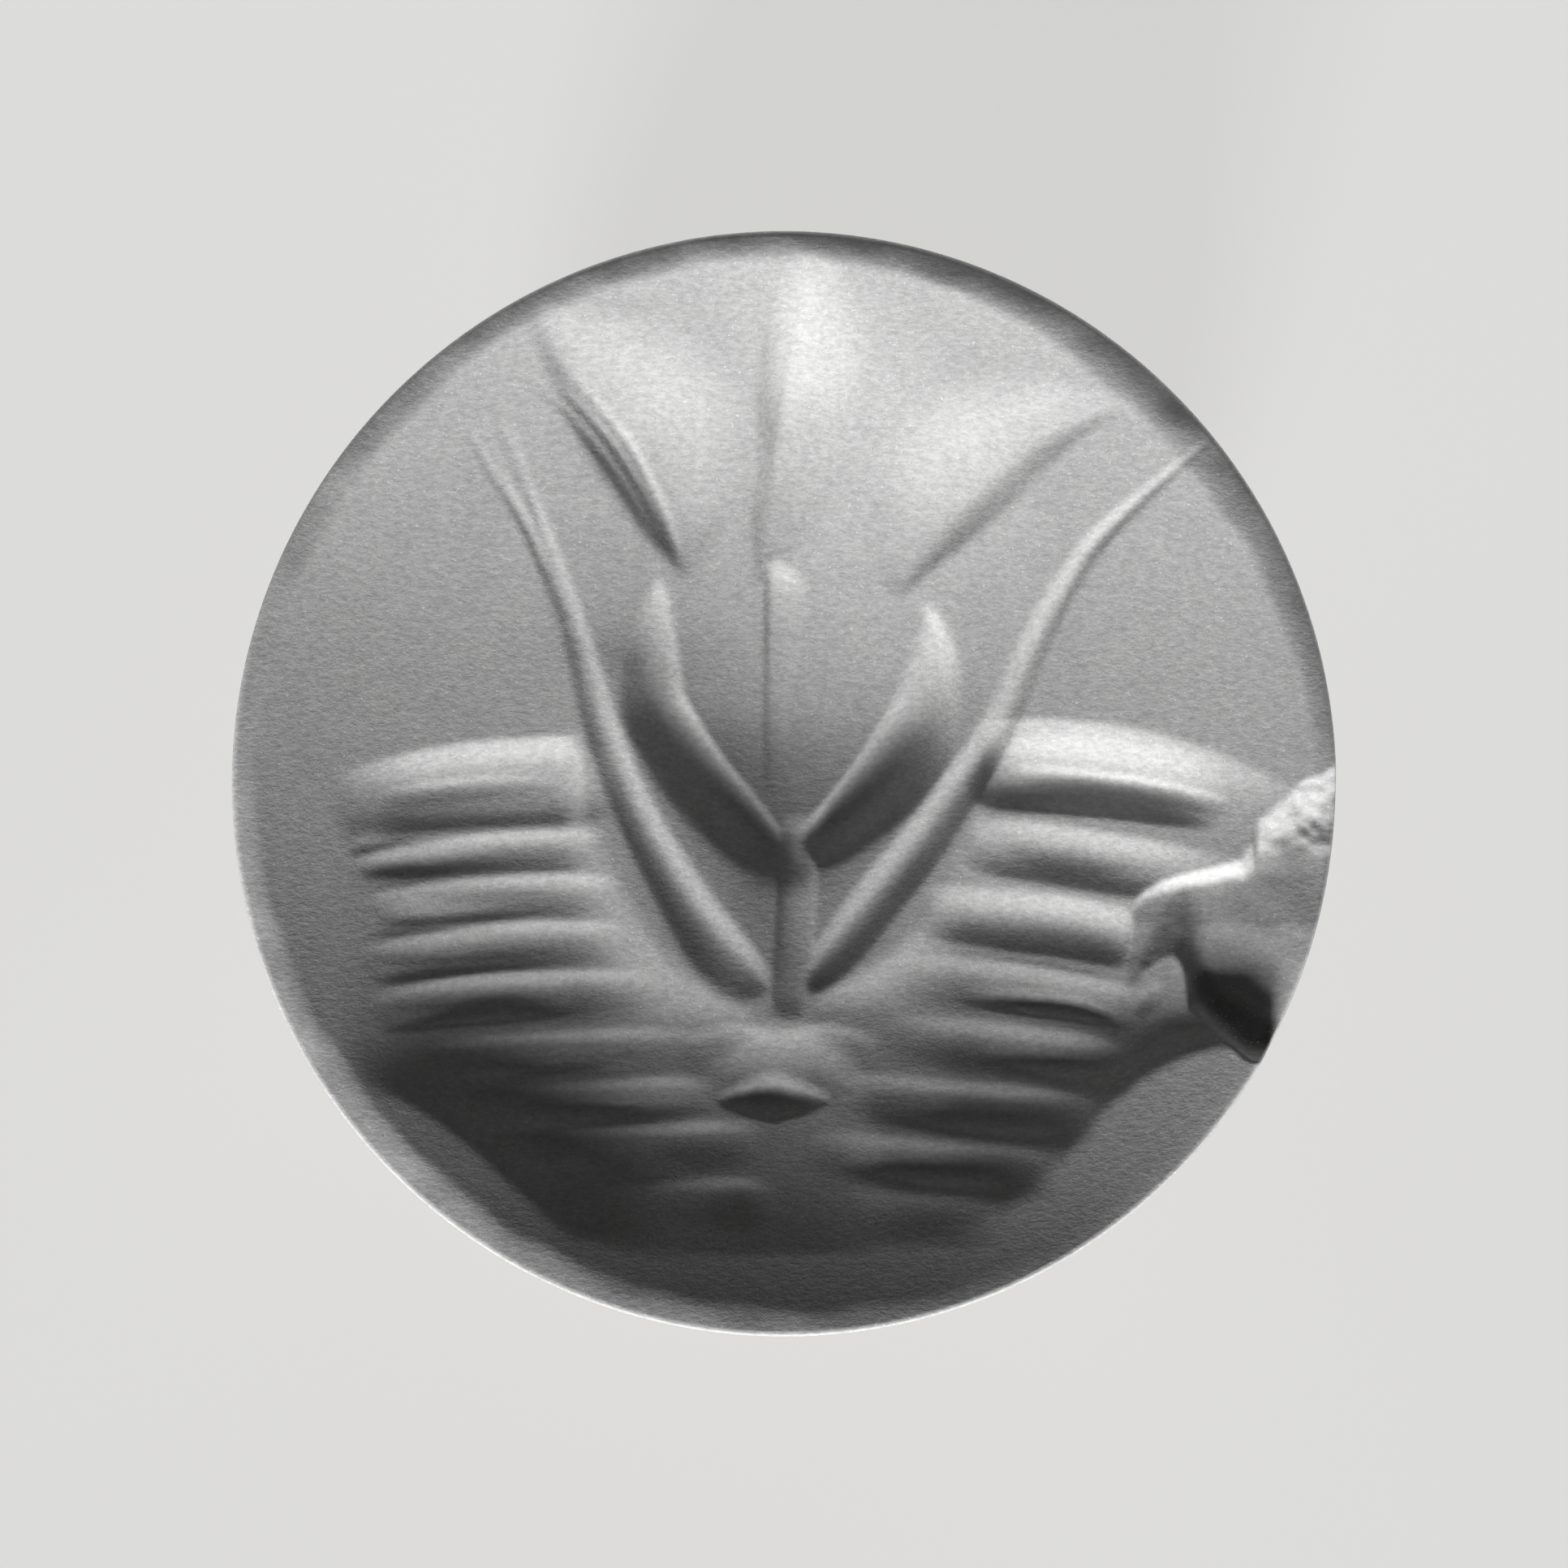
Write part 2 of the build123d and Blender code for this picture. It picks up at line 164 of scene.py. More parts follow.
# %% Helpers for nodes


def wire(tree, socket, value):
    """Links a socket to another node's output, or sets it to a plain value."""
    if isinstance(value, bpy.types.NodeSocket):
        tree.links.new(value, socket)
    else:
        socket.default_value = value


def add(tree, kind, inputs=None, **settings):
    """Adds a node with its settings and inputs."""
    node = tree.nodes.new(kind)
    for key, value in settings.items():
        setattr(node, key, value)
    for key, value in (inputs or {}).items():
        wire(tree, node.inputs[key], value)
    return node


def start_finish(name):
    """A new material, its node tree and its main shader."""
    material = bpy.data.materials.new(name)
    material.use_nodes = True
    tree = material.node_tree
    return material, tree, tree.nodes["Principled BSDF"]


def dress(tree, shader, sockets):
    """Sets or links the sockets of a shader by name."""
    for name, value in sockets.items():
        wire(tree, shader.inputs[name], value)


def reckon(tree, operation, *values):
    """A product, a sum or another simple reckoning with values."""
    inputs = dict(enumerate(values))
    return add(tree, "ShaderNodeMath", inputs, operation=operation).outputs["Value"]


def blend_colour(tree, share, first, second, blend="MIX"):
    """A colour that goes from the first to the second with the share."""
    node = add(tree, "ShaderNodeMix", data_type="RGBA", blend_type=blend)
    for index, value in ((0, share), (6, first), (7, second)):
        wire(tree, node.inputs[index], value)
    return node.outputs[2]


def between(tree, value, span, out=(0.0, 1.0)):
    """Moves a value from one span to another, and keeps it inside."""
    ends = {"From Min": span[0], "From Max": span[1], "To Min": out[0], "To Max": out[1]}
    return add(tree, "ShaderNodeMapRange", {"Value": value, **ends}).outputs["Result"]


def tint(tree, colour, other, value, span, most=1.0, least=0.0):
    """Goes from a colour towards another one while a value crosses a span."""
    return blend_colour(tree, between(tree, value, span, (least, most)), colour, other)


def speckle(tree, size, detail=2.0, stretch=(1, 1, 1), roughness=0.5):
    """Soft noise whose blots have a size in millimetres, stretched along an axis if wanted."""
    place = add(tree, "ShaderNodeTexCoord").outputs["Object"]
    scaled = add(tree, "ShaderNodeMapping", {"Vector": place, "Scale": stretch}).outputs["Vector"]
    inputs = {"Vector": scaled, "Scale": 1 / (size * mm), "Detail": detail, "Roughness": roughness}
    return add(tree, "ShaderNodeTexNoise", inputs).outputs["Fac"]


def relief(tree, height, depth, under=None):
    """Bump of a depth in millimetres, on top of another bump if there is one."""
    inputs = {"Height": height, "Distance": depth * mm, "Strength": 1.0}
    if under is not None:
        inputs["Normal"] = under
    return add(tree, "ShaderNodeBump", inputs).outputs["Normal"]


def mark(tree, name):
    """A number that was stored on the mesh."""
    return add(tree, "ShaderNodeAttribute", attribute_name=name).outputs["Fac"]


print("helpers ready")

# %% [markdown]
# ## Floor and surroundings
# The stamp stands on a plain pale floor. With a lamp this low the stamp's shadow is long, so
# most of the floor's paleness comes from a little glow that only the camera and the reflections
# see. The rest is real light, which keeps the shadow.

# %% Pale floor
floor_size = 3.0
floor_glow = 0.62
floor_colour = (0.2, 0.2, 0.197, 1)
glow_colour = (1.0, 1.0, 0.99, 1)


def seen_only(tree):
    """1 for rays from the camera and for reflections, 0 for the light that the floor gives off."""
    rays = add(tree, "ShaderNodeLightPath").outputs
    seen = rays["Is Camera Ray"]
    for other in ("Is Glossy Ray", "Is Transmission Ray"):
        seen = reckon(tree, "MAXIMUM", seen, rays[other])
    return seen


floor_mesh = bpy.data.meshes.new("floor")
floor_signs = [(-1, -1), (1, -1), (1, 1), (-1, 1)]
floor_corners = [(x * floor_size, y * floor_size, 0) for x, y in floor_signs]
floor_mesh.from_pydata(floor_corners, [], [(0, 1, 2, 3)])
floor = bpy.data.objects.new("floor", floor_mesh)
scene.collection.objects.link(floor)

floor_paint, tree, shader = start_finish("pale_floor")
dress(tree, shader, {
    "Base Color": floor_colour,
    "Roughness": 0.9,
    "Specular IOR Level": 0.0,
    "Emission Color": glow_colour,
    "Emission Strength": reckon(tree, "MULTIPLY", seen_only(tree), floor_glow),
})
floor_mesh.materials.append(floor_paint)
print("floor", 2 * floor_size, "m wide")

# %% [markdown]
# The air around is pale in the same way, and a little brighter higher up, so that metal has
# something to mirror. It adds next to no light of its own, and the cuts stay dark.

# %% Pale air
sky_low = (0.62, 0.62, 0.615, 1)
sky_high = (0.95, 0.95, 0.95, 1)
sky_fill = 0.005

scene.world = bpy.data.worlds.new("air")
scene.world.use_nodes = True
tree = scene.world.node_tree
background = tree.nodes["Background"]
direction = add(tree, "ShaderNodeTexCoord").outputs["Generated"]
climb = add(tree, "ShaderNodeSeparateXYZ", {"Vector": direction}).outputs["Z"]
dress(tree, background, {
    "Color": tint(tree, sky_low, sky_high, climb, (0.0, 0.9)),
    "Strength": between(tree, seen_only(tree), (0.0, 1.0), (sky_fill, 1.0)),
})
print("air fills with", sky_fill)

# %% [markdown]
# ## The engraved face
# The face is a shallow dish. The cutter sank broad hollows into it for the flower and the
# basket, then cut the petals, the stem and the ribs with small wheels. Sculpting by hand would
# do, but a depth map says each stroke in one line: a list of points down the middle of the
# cut, each with its reach to the left, its reach to the right, and its depth. The map is worked
# out on a square grid, and the mesh reads its heights from it.

# %% Grid for the depth map
face_radius = reach("seal_die")
lip_width = 0.8
dish_depth = 1.4
map_size = 660
map_half = face_radius + 0.4

map_axis = np.linspace(-map_half, map_half, map_size)
map_step = map_axis[1] - map_axis[0]
across, upward = np.meshgrid(map_axis, map_axis)
from_axis = np.hypot(across, upward)
on_disc = from_axis <= face_radius
lip_radius = face_radius - lip_width
dish_radius = (lip_radius**2 + dish_depth**2) / (2 * dish_depth)
plain_dish = dish_radius - dish_depth - np.sqrt(dish_radius**2 - from_axis**2)
print("dish is part of a ball of radius", round(dish_radius, 1), "mm")

# %% [markdown]
# A stroke follows a smooth curve through its points. Each spot of the map finds the nearest
# place on that curve, and which side of it the spot lies on. A wall falls away in a bow: at
# softness 1 it meets the face in a crisp edge, and at 2 it fades out into it.

# %% The stroke of a wheel
thinnest_end = 0.0004


def smooth_curve(points, count):
    """A smooth curve through rows of numbers."""
    rows = np.array(points, float)
    ends = np.vstack([2 * rows[0] - rows[1], rows, 2 * rows[-1] - rows[-2]])
    place = np.linspace(0, len(rows) - 1, count)
    at = np.minimum(place.astype(int), len(rows) - 2)
    t = (place - at)[:, None]
    a, b, c, d = (ends[at + k] for k in range(4))
    return b + 0.5 * t * (c - a + t * (2 * a - 5 * b + 4 * c - d + t * (3 * (b - c) + d - a)))


def stroke(points, soft_left=1.0, soft_right=1.0, taper=0.3, count=120):
    """Depth of one cut. Each point is x, y, reach to the left, reach to the right and depth."""
    line = smooth_curve(points, count)
    far = line[:, 2:4].max()
    near = (across > line[:, 0].min() - far) & (across < line[:, 0].max() + far)
    near &= (upward > line[:, 1].min() - far) & (upward < line[:, 1].max() + far)
    x, y = across[near], upward[near]
    best = np.full(x.shape, np.inf)
    at = np.zeros(x.shape, int)
    for k, row in enumerate(line):
        gap = (x - row[0]) ** 2 + (y - row[1]) ** 2
        closer = gap < best
        best[closer] = gap[closer]
        at[closer] = k
    run = np.gradient(line[:, :2], axis=0)
    off_x, off_y = x - line[at, 0], y - line[at, 1]
    past = (off_x * run[at, 0] + off_y * run[at, 1]) / (run[at] ** 2).sum(axis=1)
    spot = np.clip(at + past, 0, count - 1)
    steps = np.arange(count)
    mid_x, mid_y, left, right, deep = (np.interp(spot, steps, column) for column in line.T)
    on_left = run[at, 0] * off_y > run[at, 1] * off_x
    narrowing = np.clip(deep / line[:, 4].max(), thinnest_end, 1) ** taper
    share = np.hypot(x - mid_x, y - mid_y) / (narrowing * np.where(on_left, left, right))
    depth = np.zeros_like(across)
    bow = np.clip(1 - share**2, 0, 1) ** np.where(on_left, soft_left, soft_right)
    depth[near] = np.maximum(deep, 0) * bow
    return depth


def score(points, left, right, soft_left=1.0, soft_right=1.0, taper=0.15):
    """A cut of even width. Each point is x, y and depth."""
    rows = [(x, y, left, right, depth) for x, y, depth in points]
    return stroke(rows, soft_left, soft_right, taper)


print("stroke ready")

# %% [markdown]
# Where two cuts cross, the deeper one wins and the edge between them is rounded a little.
# Wear rounds every edge too, and a blur does the same to a map. Stone never breaks evenly, so
# a seeded pattern of chance is at hand for the chip and the rim.

# %% Wear and chance
chance_cells = 128


def ease(t):
    """Goes smoothly from 0 to 1 as t does."""
    t = np.clip(t, 0, 1)
    return t * t * (3 - 2 * t)


def deeper(a, b, rounding=0.03):
    """The larger of two depths, rounded where they meet."""
    t = np.clip(0.5 + (a - b) / (2 * rounding), 0, 1)
    return b + (a - b) * t + rounding * t * (1 - t)


def wear(depth, radius):
    """Rounds a depth map off over a radius."""
    pitch = np.fft.fftfreq(2 * map_size, map_step)
    keep = np.exp(-2 * (np.pi * radius * pitch) ** 2)
    wide = np.pad(depth, ((0, map_size), (0, map_size)), mode="symmetric")
    return np.fft.ifft2(np.fft.fft2(wide) * np.outer(keep, keep)).real[:map_size, :map_size]


def uneven(size, seed):
    """Smooth chance between -1 and 1 in bumps of a size. Each seed gives a pattern of its own."""
    table = np.random.RandomState(seed).uniform(-1, 1, (chance_cells, chance_cells))
    x, y = across / size + chance_cells / 2, upward / size + chance_cells / 2
    i, j = np.floor(x).astype(int), np.floor(y).astype(int)
    right, high = ease(x - i), ease(y - j)
    i, j = i % (chance_cells - 1), j % (chance_cells - 1)
    low_row = table[i, j] * (1 - right) + table[i + 1, j] * right
    high_row = table[i, j + 1] * (1 - right) + table[i + 1, j + 1] * right
    return low_row * (1 - high) + high_row * high


print("wear ready")

# %% [markdown]
# The broad hollows come first. The flower lies in one that sinks from its foot up to its cup
# and rises again to the top of the face. The floor of the cup is a step lower. The basket is a
# pair of hollows beside the flower and one below it, with a crisp upper edge and two lobes at
# the foot.

# %% Broad hollows
flower_hollow = stroke([
    (0.1, -4.6, 2.0, 2.0, 0.0),
    (0.1, -2.45, 3.0, 3.1, 0.15),
    (0.25, -0.6, 4.3, 4.5, 0.34),
    (0.5, 1.2, 5.1, 5.1, 0.56),
    (0.7, 3.0, 5.8, 5.5, 0.68),
    (0.5, 4.7, 6.0, 6.0, 0.66),
    (0.1, 7.0, 6.1, 6.3, 0.46),
    (-0.2, 9.6, 6.0, 6.0, 0.17),
    (-0.2, 12.2, 6.0, 6.0, 0.0),
], soft_left=2.0, soft_right=2.0)
cup_floor = stroke([
    (0.1, -2.3, 0.6, 0.6, 0.0),
    (0.1, -1.7, 1.0, 1.0, 0.12),
    (0.15, -0.6, 1.9, 1.9, 0.2),
    (0.2, 0.4, 2.7, 2.8, 0.22),
    (0.2, 1.4, 3.3, 3.5, 0.2),
    (0.2, 2.3, 3.6, 3.9, 0.13),
    (0.2, 3.3, 3.7, 4.0, 0.05),
    (0.2, 4.3, 3.7, 4.0, 0.0),
], soft_left=0.7, soft_right=0.7, taper=0.0)
left_basket = stroke([
    (-10.0, -5.6, 5.5, 1.0, 0.0),
    (-9.1, -5.6, 6.0, 1.4, 0.12),
    (-8.2, -5.6, 6.4, 1.8, 0.28),
    (-7.1, -5.6, 6.6, 2.6, 0.38),
    (-5.9, -5.6, 6.6, 3.7, 0.46),
    (-4.9, -5.6, 6.4, 4.6, 0.47),
    (-4.2, -5.6, 5.0, 4.8, 0.46),
    (-3.4, -5.6, 3.3, 5.0, 0.37),
    (-2.6, -5.6, 2.0, 5.1, 0.27),
    (-1.6, -5.6, 1.3, 5.1, 0.18),
    (-0.4, -5.6, 0.9, 4.9, 0.0),
], soft_left=2.4, soft_right=1.05, taper=0.0)
right_basket = stroke([
    (0.4, -5.2, 0.5, 5.3, 0.0),
    (1.6, -5.2, 0.9, 5.4, 0.16),
    (2.6, -5.2, 1.6, 5.4, 0.28),
    (3.6, -5.2, 2.9, 5.1, 0.38),
    (4.4, -5.2, 4.8, 4.8, 0.49),
    (5.2, -5.2, 6.1, 4.4, 0.52),
    (6.4, -5.2, 6.3, 3.3, 0.51),
    (7.6, -5.2, 6.2, 1.9, 0.48),
    (9.0, -5.2, 5.9, 1.0, 0.34),
    (10.4, -5.2, 5.5, 0.7, 0.16),
    (11.8, -5.2, 5.1, 0.6, 0.0),
], soft_left=1.4, soft_right=1.3, taper=0.0)
foot_hollow = stroke([
    (-3.2, -6.8, 0.8, 3.4, 0.0),
    (-1.8, -6.8, 1.3, 3.8, 0.17),
    (-0.1, -6.8, 1.5, 3.85, 0.22),
    (1.6, -6.8, 1.3, 3.8, 0.17),
    (3.0, -6.8, 0.8, 3.4, 0.0),
], soft_left=1.7, soft_right=0.9, taper=0.0)
sides = wear(np.maximum(left_basket, right_basket), radius=0.1)
basket = deeper(sides, wear(foot_hollow, radius=0.05), rounding=0.06)
hollows = wear(flower_hollow, radius=0.35) + wear(cup_floor, radius=0.2) + basket
print("deepest hollow", round(hollows.max(), 2), "mm")

# %% [markdown]
# Three petals show behind the cup. Each is a shallow spoon with one steep side, and its floor
# rises towards the tip.

# %% Petals behind the cup
left_petal = stroke([
    (-5.7, 10.8, 1.2, 0.5, 0.0),
    (-4.85, 9.45, 2.8, 0.8, 0.14),
    (-3.9, 8.2, 3.2, 1.05, 0.27),
    (-3.35, 7.4, 3.2, 1.05, 0.29),
    (-2.65, 5.9, 2.4, 0.8, 0.17),
    (-2.2, 4.7, 0.8, 0.3, 0.0),
], soft_left=2.6, soft_right=2.3)
middle_petal = stroke([
    (-0.55, 4.6, 0.4, 1.2, 0.0),
    (-0.35, 6.2, 0.5, 1.7, 0.2),
    (-0.1, 7.6, 0.55, 2.0, 0.33),
    (0.05, 8.7, 0.7, 2.2, 0.4),
    (0.15, 9.6, 0.8, 2.4, 0.33),
    (0.35, 10.8, 1.1, 2.4, 0.16),
    (0.6, 12.0, 1.1, 2.2, 0.0),
], soft_left=1.8, soft_right=2.6)
right_petal = stroke([
    (2.5, 4.2, 0.9, 0.25, 0.0),
    (3.0, 5.0, 1.8, 0.5, 0.12),
    (3.75, 6.0, 2.5, 0.75, 0.25),
    (4.6, 6.9, 2.7, 0.85, 0.27),
    (5.5, 7.65, 2.4, 0.8, 0.2),
    (6.6, 8.2, 1.8, 0.6, 0.09),
    (7.6, 8.5, 0.8, 0.4, 0.0),
], soft_left=2.6, soft_right=1.8)
petals = wear(left_petal + middle_petal + right_petal, radius=0.06)
print("petals", round(petals.max(), 2), "mm deep")

# %% [markdown]
# The long outer petals run from the foot of the flower to the edge of the face, in two
# sweeping lines. They are narrow and round, and fade out at their tips.

# %% Long outer petals
left_arm = stroke([
    (-6.95, 9.6, 0.22, 0.25, 0.0),
    (-6.15, 7.7, 0.25, 0.28, 0.025),
    (-5.45, 5.8, 0.3, 0.34, 0.05),
    (-4.95, 4.2, 0.38, 0.42, 0.08),
    (-4.6, 3.0, 0.44, 0.48, 0.1),
    (-4.1, 1.2, 0.5, 0.55, 0.12),
    (-3.35, -0.65, 0.54, 0.6, 0.14),
    (-2.35, -2.45, 0.62, 0.7, 0.165),
    (-1.65, -3.4, 0.64, 0.9, 0.16),
    (-0.85, -4.25, 0.6, 1.1, 0.12),
    (-0.3, -4.75, 0.4, 0.8, 0.0),
], soft_left=1.7, soft_right=1.7)
right_arm = stroke([
    (0.4, -4.75, 0.4, 0.6, 0.0),
    (0.85, -4.2, 0.55, 0.7, 0.15),
    (1.5, -3.4, 0.6, 0.68, 0.24),
    (2.25, -2.45, 0.62, 0.64, 0.28),
    (3.0, -1.55, 0.62, 0.6, 0.29),
    (3.65, -0.65, 0.58, 0.54, 0.28),
    (4.85, 1.2, 0.5, 0.46, 0.26),
    (5.55, 2.85, 0.46, 0.42, 0.23),
    (6.15, 4.05, 0.42, 0.38, 0.2),
    (6.95, 5.35, 0.36, 0.36, 0.15),
    (7.95, 6.35, 0.3, 0.32, 0.1),
    (9.05, 7.3, 0.26, 0.28, 0.05),
    (9.8, 7.9, 0.22, 0.25, 0.0),
], soft_left=1.7, soft_right=1.7)
print("outer petals", round(max(left_arm.max(), right_arm.max()), 2), "mm deep")

# %% [markdown]
# The cup of the flower has the deepest cuts. Each of its two petals has a thin crisp wall
# towards the middle and a broad one outside. The stem carries them, and a stamen stands between.

# %% Cup, stem and stamen
left_cup = stroke([
    (0.1, -1.75, 1.0, 0.3, 0.0),
    (-0.35, -1.3, 1.3, 0.5, 0.1),
    (-1.05, -0.65, 1.25, 0.62, 0.16),
    (-1.95, 0.28, 1.15, 0.7, 0.2),
    (-2.52, 1.05, 1.0, 0.72, 0.23),
    (-2.97, 1.8, 0.85, 0.74, 0.25),
    (-3.15, 2.7, 0.6, 0.8, 0.23),
    (-3.12, 3.4, 0.45, 0.72, 0.19),
    (-2.98, 4.1, 0.32, 0.5, 0.13),
    (-2.85, 4.75, 0.2, 0.3, 0.0),
], soft_left=1.8, soft_right=0.75)
right_cup = stroke([
    (0.1, -1.75, 0.3, 1.0, 0.0),
    (0.6, -1.25, 0.45, 1.25, 0.14),
    (1.3, -0.7, 0.55, 1.2, 0.27),
    (2.3, 0.28, 0.7, 1.2, 0.4),
    (2.9, 1.1, 0.74, 1.1, 0.44),
    (3.24, 1.8, 0.75, 0.9, 0.38),
    (3.42, 2.67, 0.68, 0.7, 0.3),
    (3.42, 3.4, 0.54, 0.45, 0.19),
    (3.2, 4.15, 0.25, 0.3, 0.0),
], soft_left=0.8, soft_right=1.6)
stem = score([
    (0.25, -0.7, 0.0),
    (0.25, -1.3, 0.1),
    (0.28, -2.3, 0.14),
    (0.22, -3.6, 0.14),
    (0.12, -4.8, 0.08),
    (0.1, -5.4, 0.0),
], left=0.46, right=0.4, soft_left=0.45, soft_right=0.5)
stamen = stroke([
    (-0.2, 5.1, 0.6, 0.3, 0.0),
    (-0.25, 4.4, 0.85, 0.2, 0.13),
    (-0.3, 2.9, 0.8, 0.17, 0.09),
    (-0.33, 1.2, 0.7, 0.16, 0.05),
    (-0.35, -0.3, 0.5, 0.16, 0.0),
], soft_left=1.5)
cup = np.maximum(left_cup, right_cup)
flower = deeper(deeper(np.maximum(left_arm, right_arm), cup), stem) + stamen
print("flower", round(flower.max(), 2), "mm deep")

# %% [markdown]
# The ribs of the basket are short strokes side by side, like steps down into the hollow. Each
# has a thin upper wall that catches the light, and a wider lower one. The top pair have a crisp
# upper edge and no lower wall to speak of. Ribs that share the reach and the softness of their
# two walls form a group.

# %% Ribs of the basket
left_step = stroke([
    (-10.1, -0.35, 0.5, 1.8, 0.0),
    (-9.3, -0.14, 0.62, 2.3, 0.06),
    (-8.4, 0.02, 0.7, 2.7, 0.14),
    (-7.1, 0.2, 0.75, 3.0, 0.19),
    (-5.8, 0.3, 0.75, 3.0, 0.21),
    (-5.0, 0.35, 0.75, 2.6, 0.19),
    (-4.5, 0.36, 0.75, 2.0, 0.0),
], soft_left=1.1, soft_right=1.5, taper=0.0)
right_step = stroke([
    (4.4, 0.55, 0.8, 1.6, 0.0),
    (5.2, 0.55, 0.95, 2.2, 0.19),
    (6.2, 0.48, 1.0, 2.5, 0.26),
    (7.4, 0.36, 1.0, 2.5, 0.26),
    (8.8, 0.08, 0.95, 2.2, 0.21),
    (10.1, -0.3, 0.85, 1.8, 0.12),
    (11.6, -0.9, 0.7, 1.2, 0.0),
], soft_left=1.3, soft_right=1.5, taper=0.0)
upper_left_ribs = [
    [(-9.9, -2.0, 0), (-9.2, -1.85, 0.03), (-8.2, -1.7, 0.06), (-6.7, -1.52, 0.11),
     (-5.2, -1.43, 0.09), (-4.0, -1.38, 0)],
    [(-9.6, -2.88, 0), (-8.8, -2.73, 0.04), (-7.45, -2.55, 0.1), (-6.0, -2.45, 0.14),
     (-4.8, -2.41, 0.1), (-3.8, -2.4, 0)],
    [(-9.6, -3.98, 0), (-8.8, -3.82, 0.04), (-7.45, -3.62, 0.1), (-6.0, -3.5, 0.14),
     (-4.8, -3.48, 0.1), (-3.6, -3.45, 0)],
    [(-9.4, -5.08, 0), (-8.6, -4.94, 0.045), (-7.45, -4.78, 0.11), (-6.0, -4.68, 0.14),
     (-4.3, -4.6, 0.09), (-2.8, -4.62, 0)],
]
lower_left_ribs = [
    [(-8.3, -6.2, 0), (-6.9, -6.1, 0.06), (-5.4, -6.0, 0.08), (-3.6, -5.9, 0.07),
     (-1.6, -5.85, 0)],
    [(-7.6, -7.3, 0), (-6.1, -7.15, 0.06), (-4.4, -7.05, 0.08), (-2.8, -7.0, 0.07),
     (-1.4, -7.0, 0)],
    [(-6.6, -8.25, 0), (-5.2, -8.15, 0.05), (-3.4, -8.05, 0.07), (-1.8, -8.0, 0.07),
     (-0.4, -8.0, 0)],
    [(-3.2, -9.35, 0), (-2.0, -9.3, 0.03), (-1.0, -9.3, 0.06), (-0.2, -9.3, 0)],
]
upper_right_ribs = [
    [(4.1, -1.3, 0), (4.9, -1.42, 0.12), (6.1, -1.58, 0.17), (8.0, -1.88, 0.17),
     (9.3, -2.05, 0.08), (10.2, -2.1, 0)],
    [(3.1, -2.9, 0), (3.9, -2.95, 0.11), (5.2, -3.08, 0.18), (6.4, -3.22, 0.2),
     (7.6, -3.46, 0.16), (8.05, -3.56, 0)],
]
lower_right_ribs = [
    [(2.4, -4.2, 0), (3.6, -4.35, 0.05), (5.2, -4.55, 0.085), (6.6, -4.8, 0.09),
     (7.6, -5.0, 0.07), (8.2, -5.15, 0)],
    [(2.2, -5.6, 0), (3.4, -5.72, 0.05), (5.2, -5.95, 0.085), (6.6, -6.15, 0.09),
     (7.6, -6.35, 0.05), (8.1, -6.45, 0)],
    [(0.9, -6.95, 0), (2.4, -7.05, 0.055), (4.2, -7.25, 0.085), (5.8, -7.4, 0.085),
     (7.2, -7.55, 0)],
    [(0.4, -8.25, 0), (1.9, -8.4, 0.05), (3.6, -8.6, 0.08), (5.2, -8.7, 0.06), (6.3, -8.75, 0)],
    [(1.4, -9.6, 0), (2.8, -9.7, 0.025), (4.0, -9.75, 0.035), (4.9, -9.8, 0)],
]
tread_ends = [
    [(-10.2, -0.85, 0), (-9.4, -0.65, 0.05), (-8.5, -0.5, 0.08), (-7.1, -0.36, 0.09),
     (-5.8, -0.3, 0.09), (-4.7, -0.28, 0.08), (-3.8, -0.26, 0)],
    [(4.2, 0.0, 0), (5.0, 0.0, 0.15), (6.2, -0.06, 0.21), (7.4, -0.16, 0.21),
     (8.8, -0.36, 0.16), (10.0, -0.6, 0)],
]
rib_taper = 0.12


def add_cuts(depth, groups):
    """Adds groups of cuts: each has its cuts, two reaches, two softnesses and perhaps a taper."""
    for cuts, *walls in groups:
        depth = depth + sum(score(points, *walls) for points in cuts)
    return depth


rib_groups = [
    (tread_ends, 1.2, 0.62, 1.8, 1.2),
    (upper_left_ribs, 0.4, 1.0, 1.2, 2.8, rib_taper),
    (lower_left_ribs, 0.36, 0.95, 1.4, 2.2, rib_taper),
    (upper_right_ribs, 0.7, 0.75, 1.5, 1.4, rib_taper),
    (lower_right_ribs, 0.5, 0.85, 1.5, 2.0, rib_taper),
]
ribs = add_cuts(left_step + right_step, rib_groups)
print(sum(len(cuts) for cuts, *walls in rib_groups), "ribs and treads")

# %% [markdown]
# Finer lines finish the drawing: second lines on the top ribs, dark double lines between the
# left ribs, and the striations that the graver left beside the petals. A line with one wide
# side shows only its steep side.

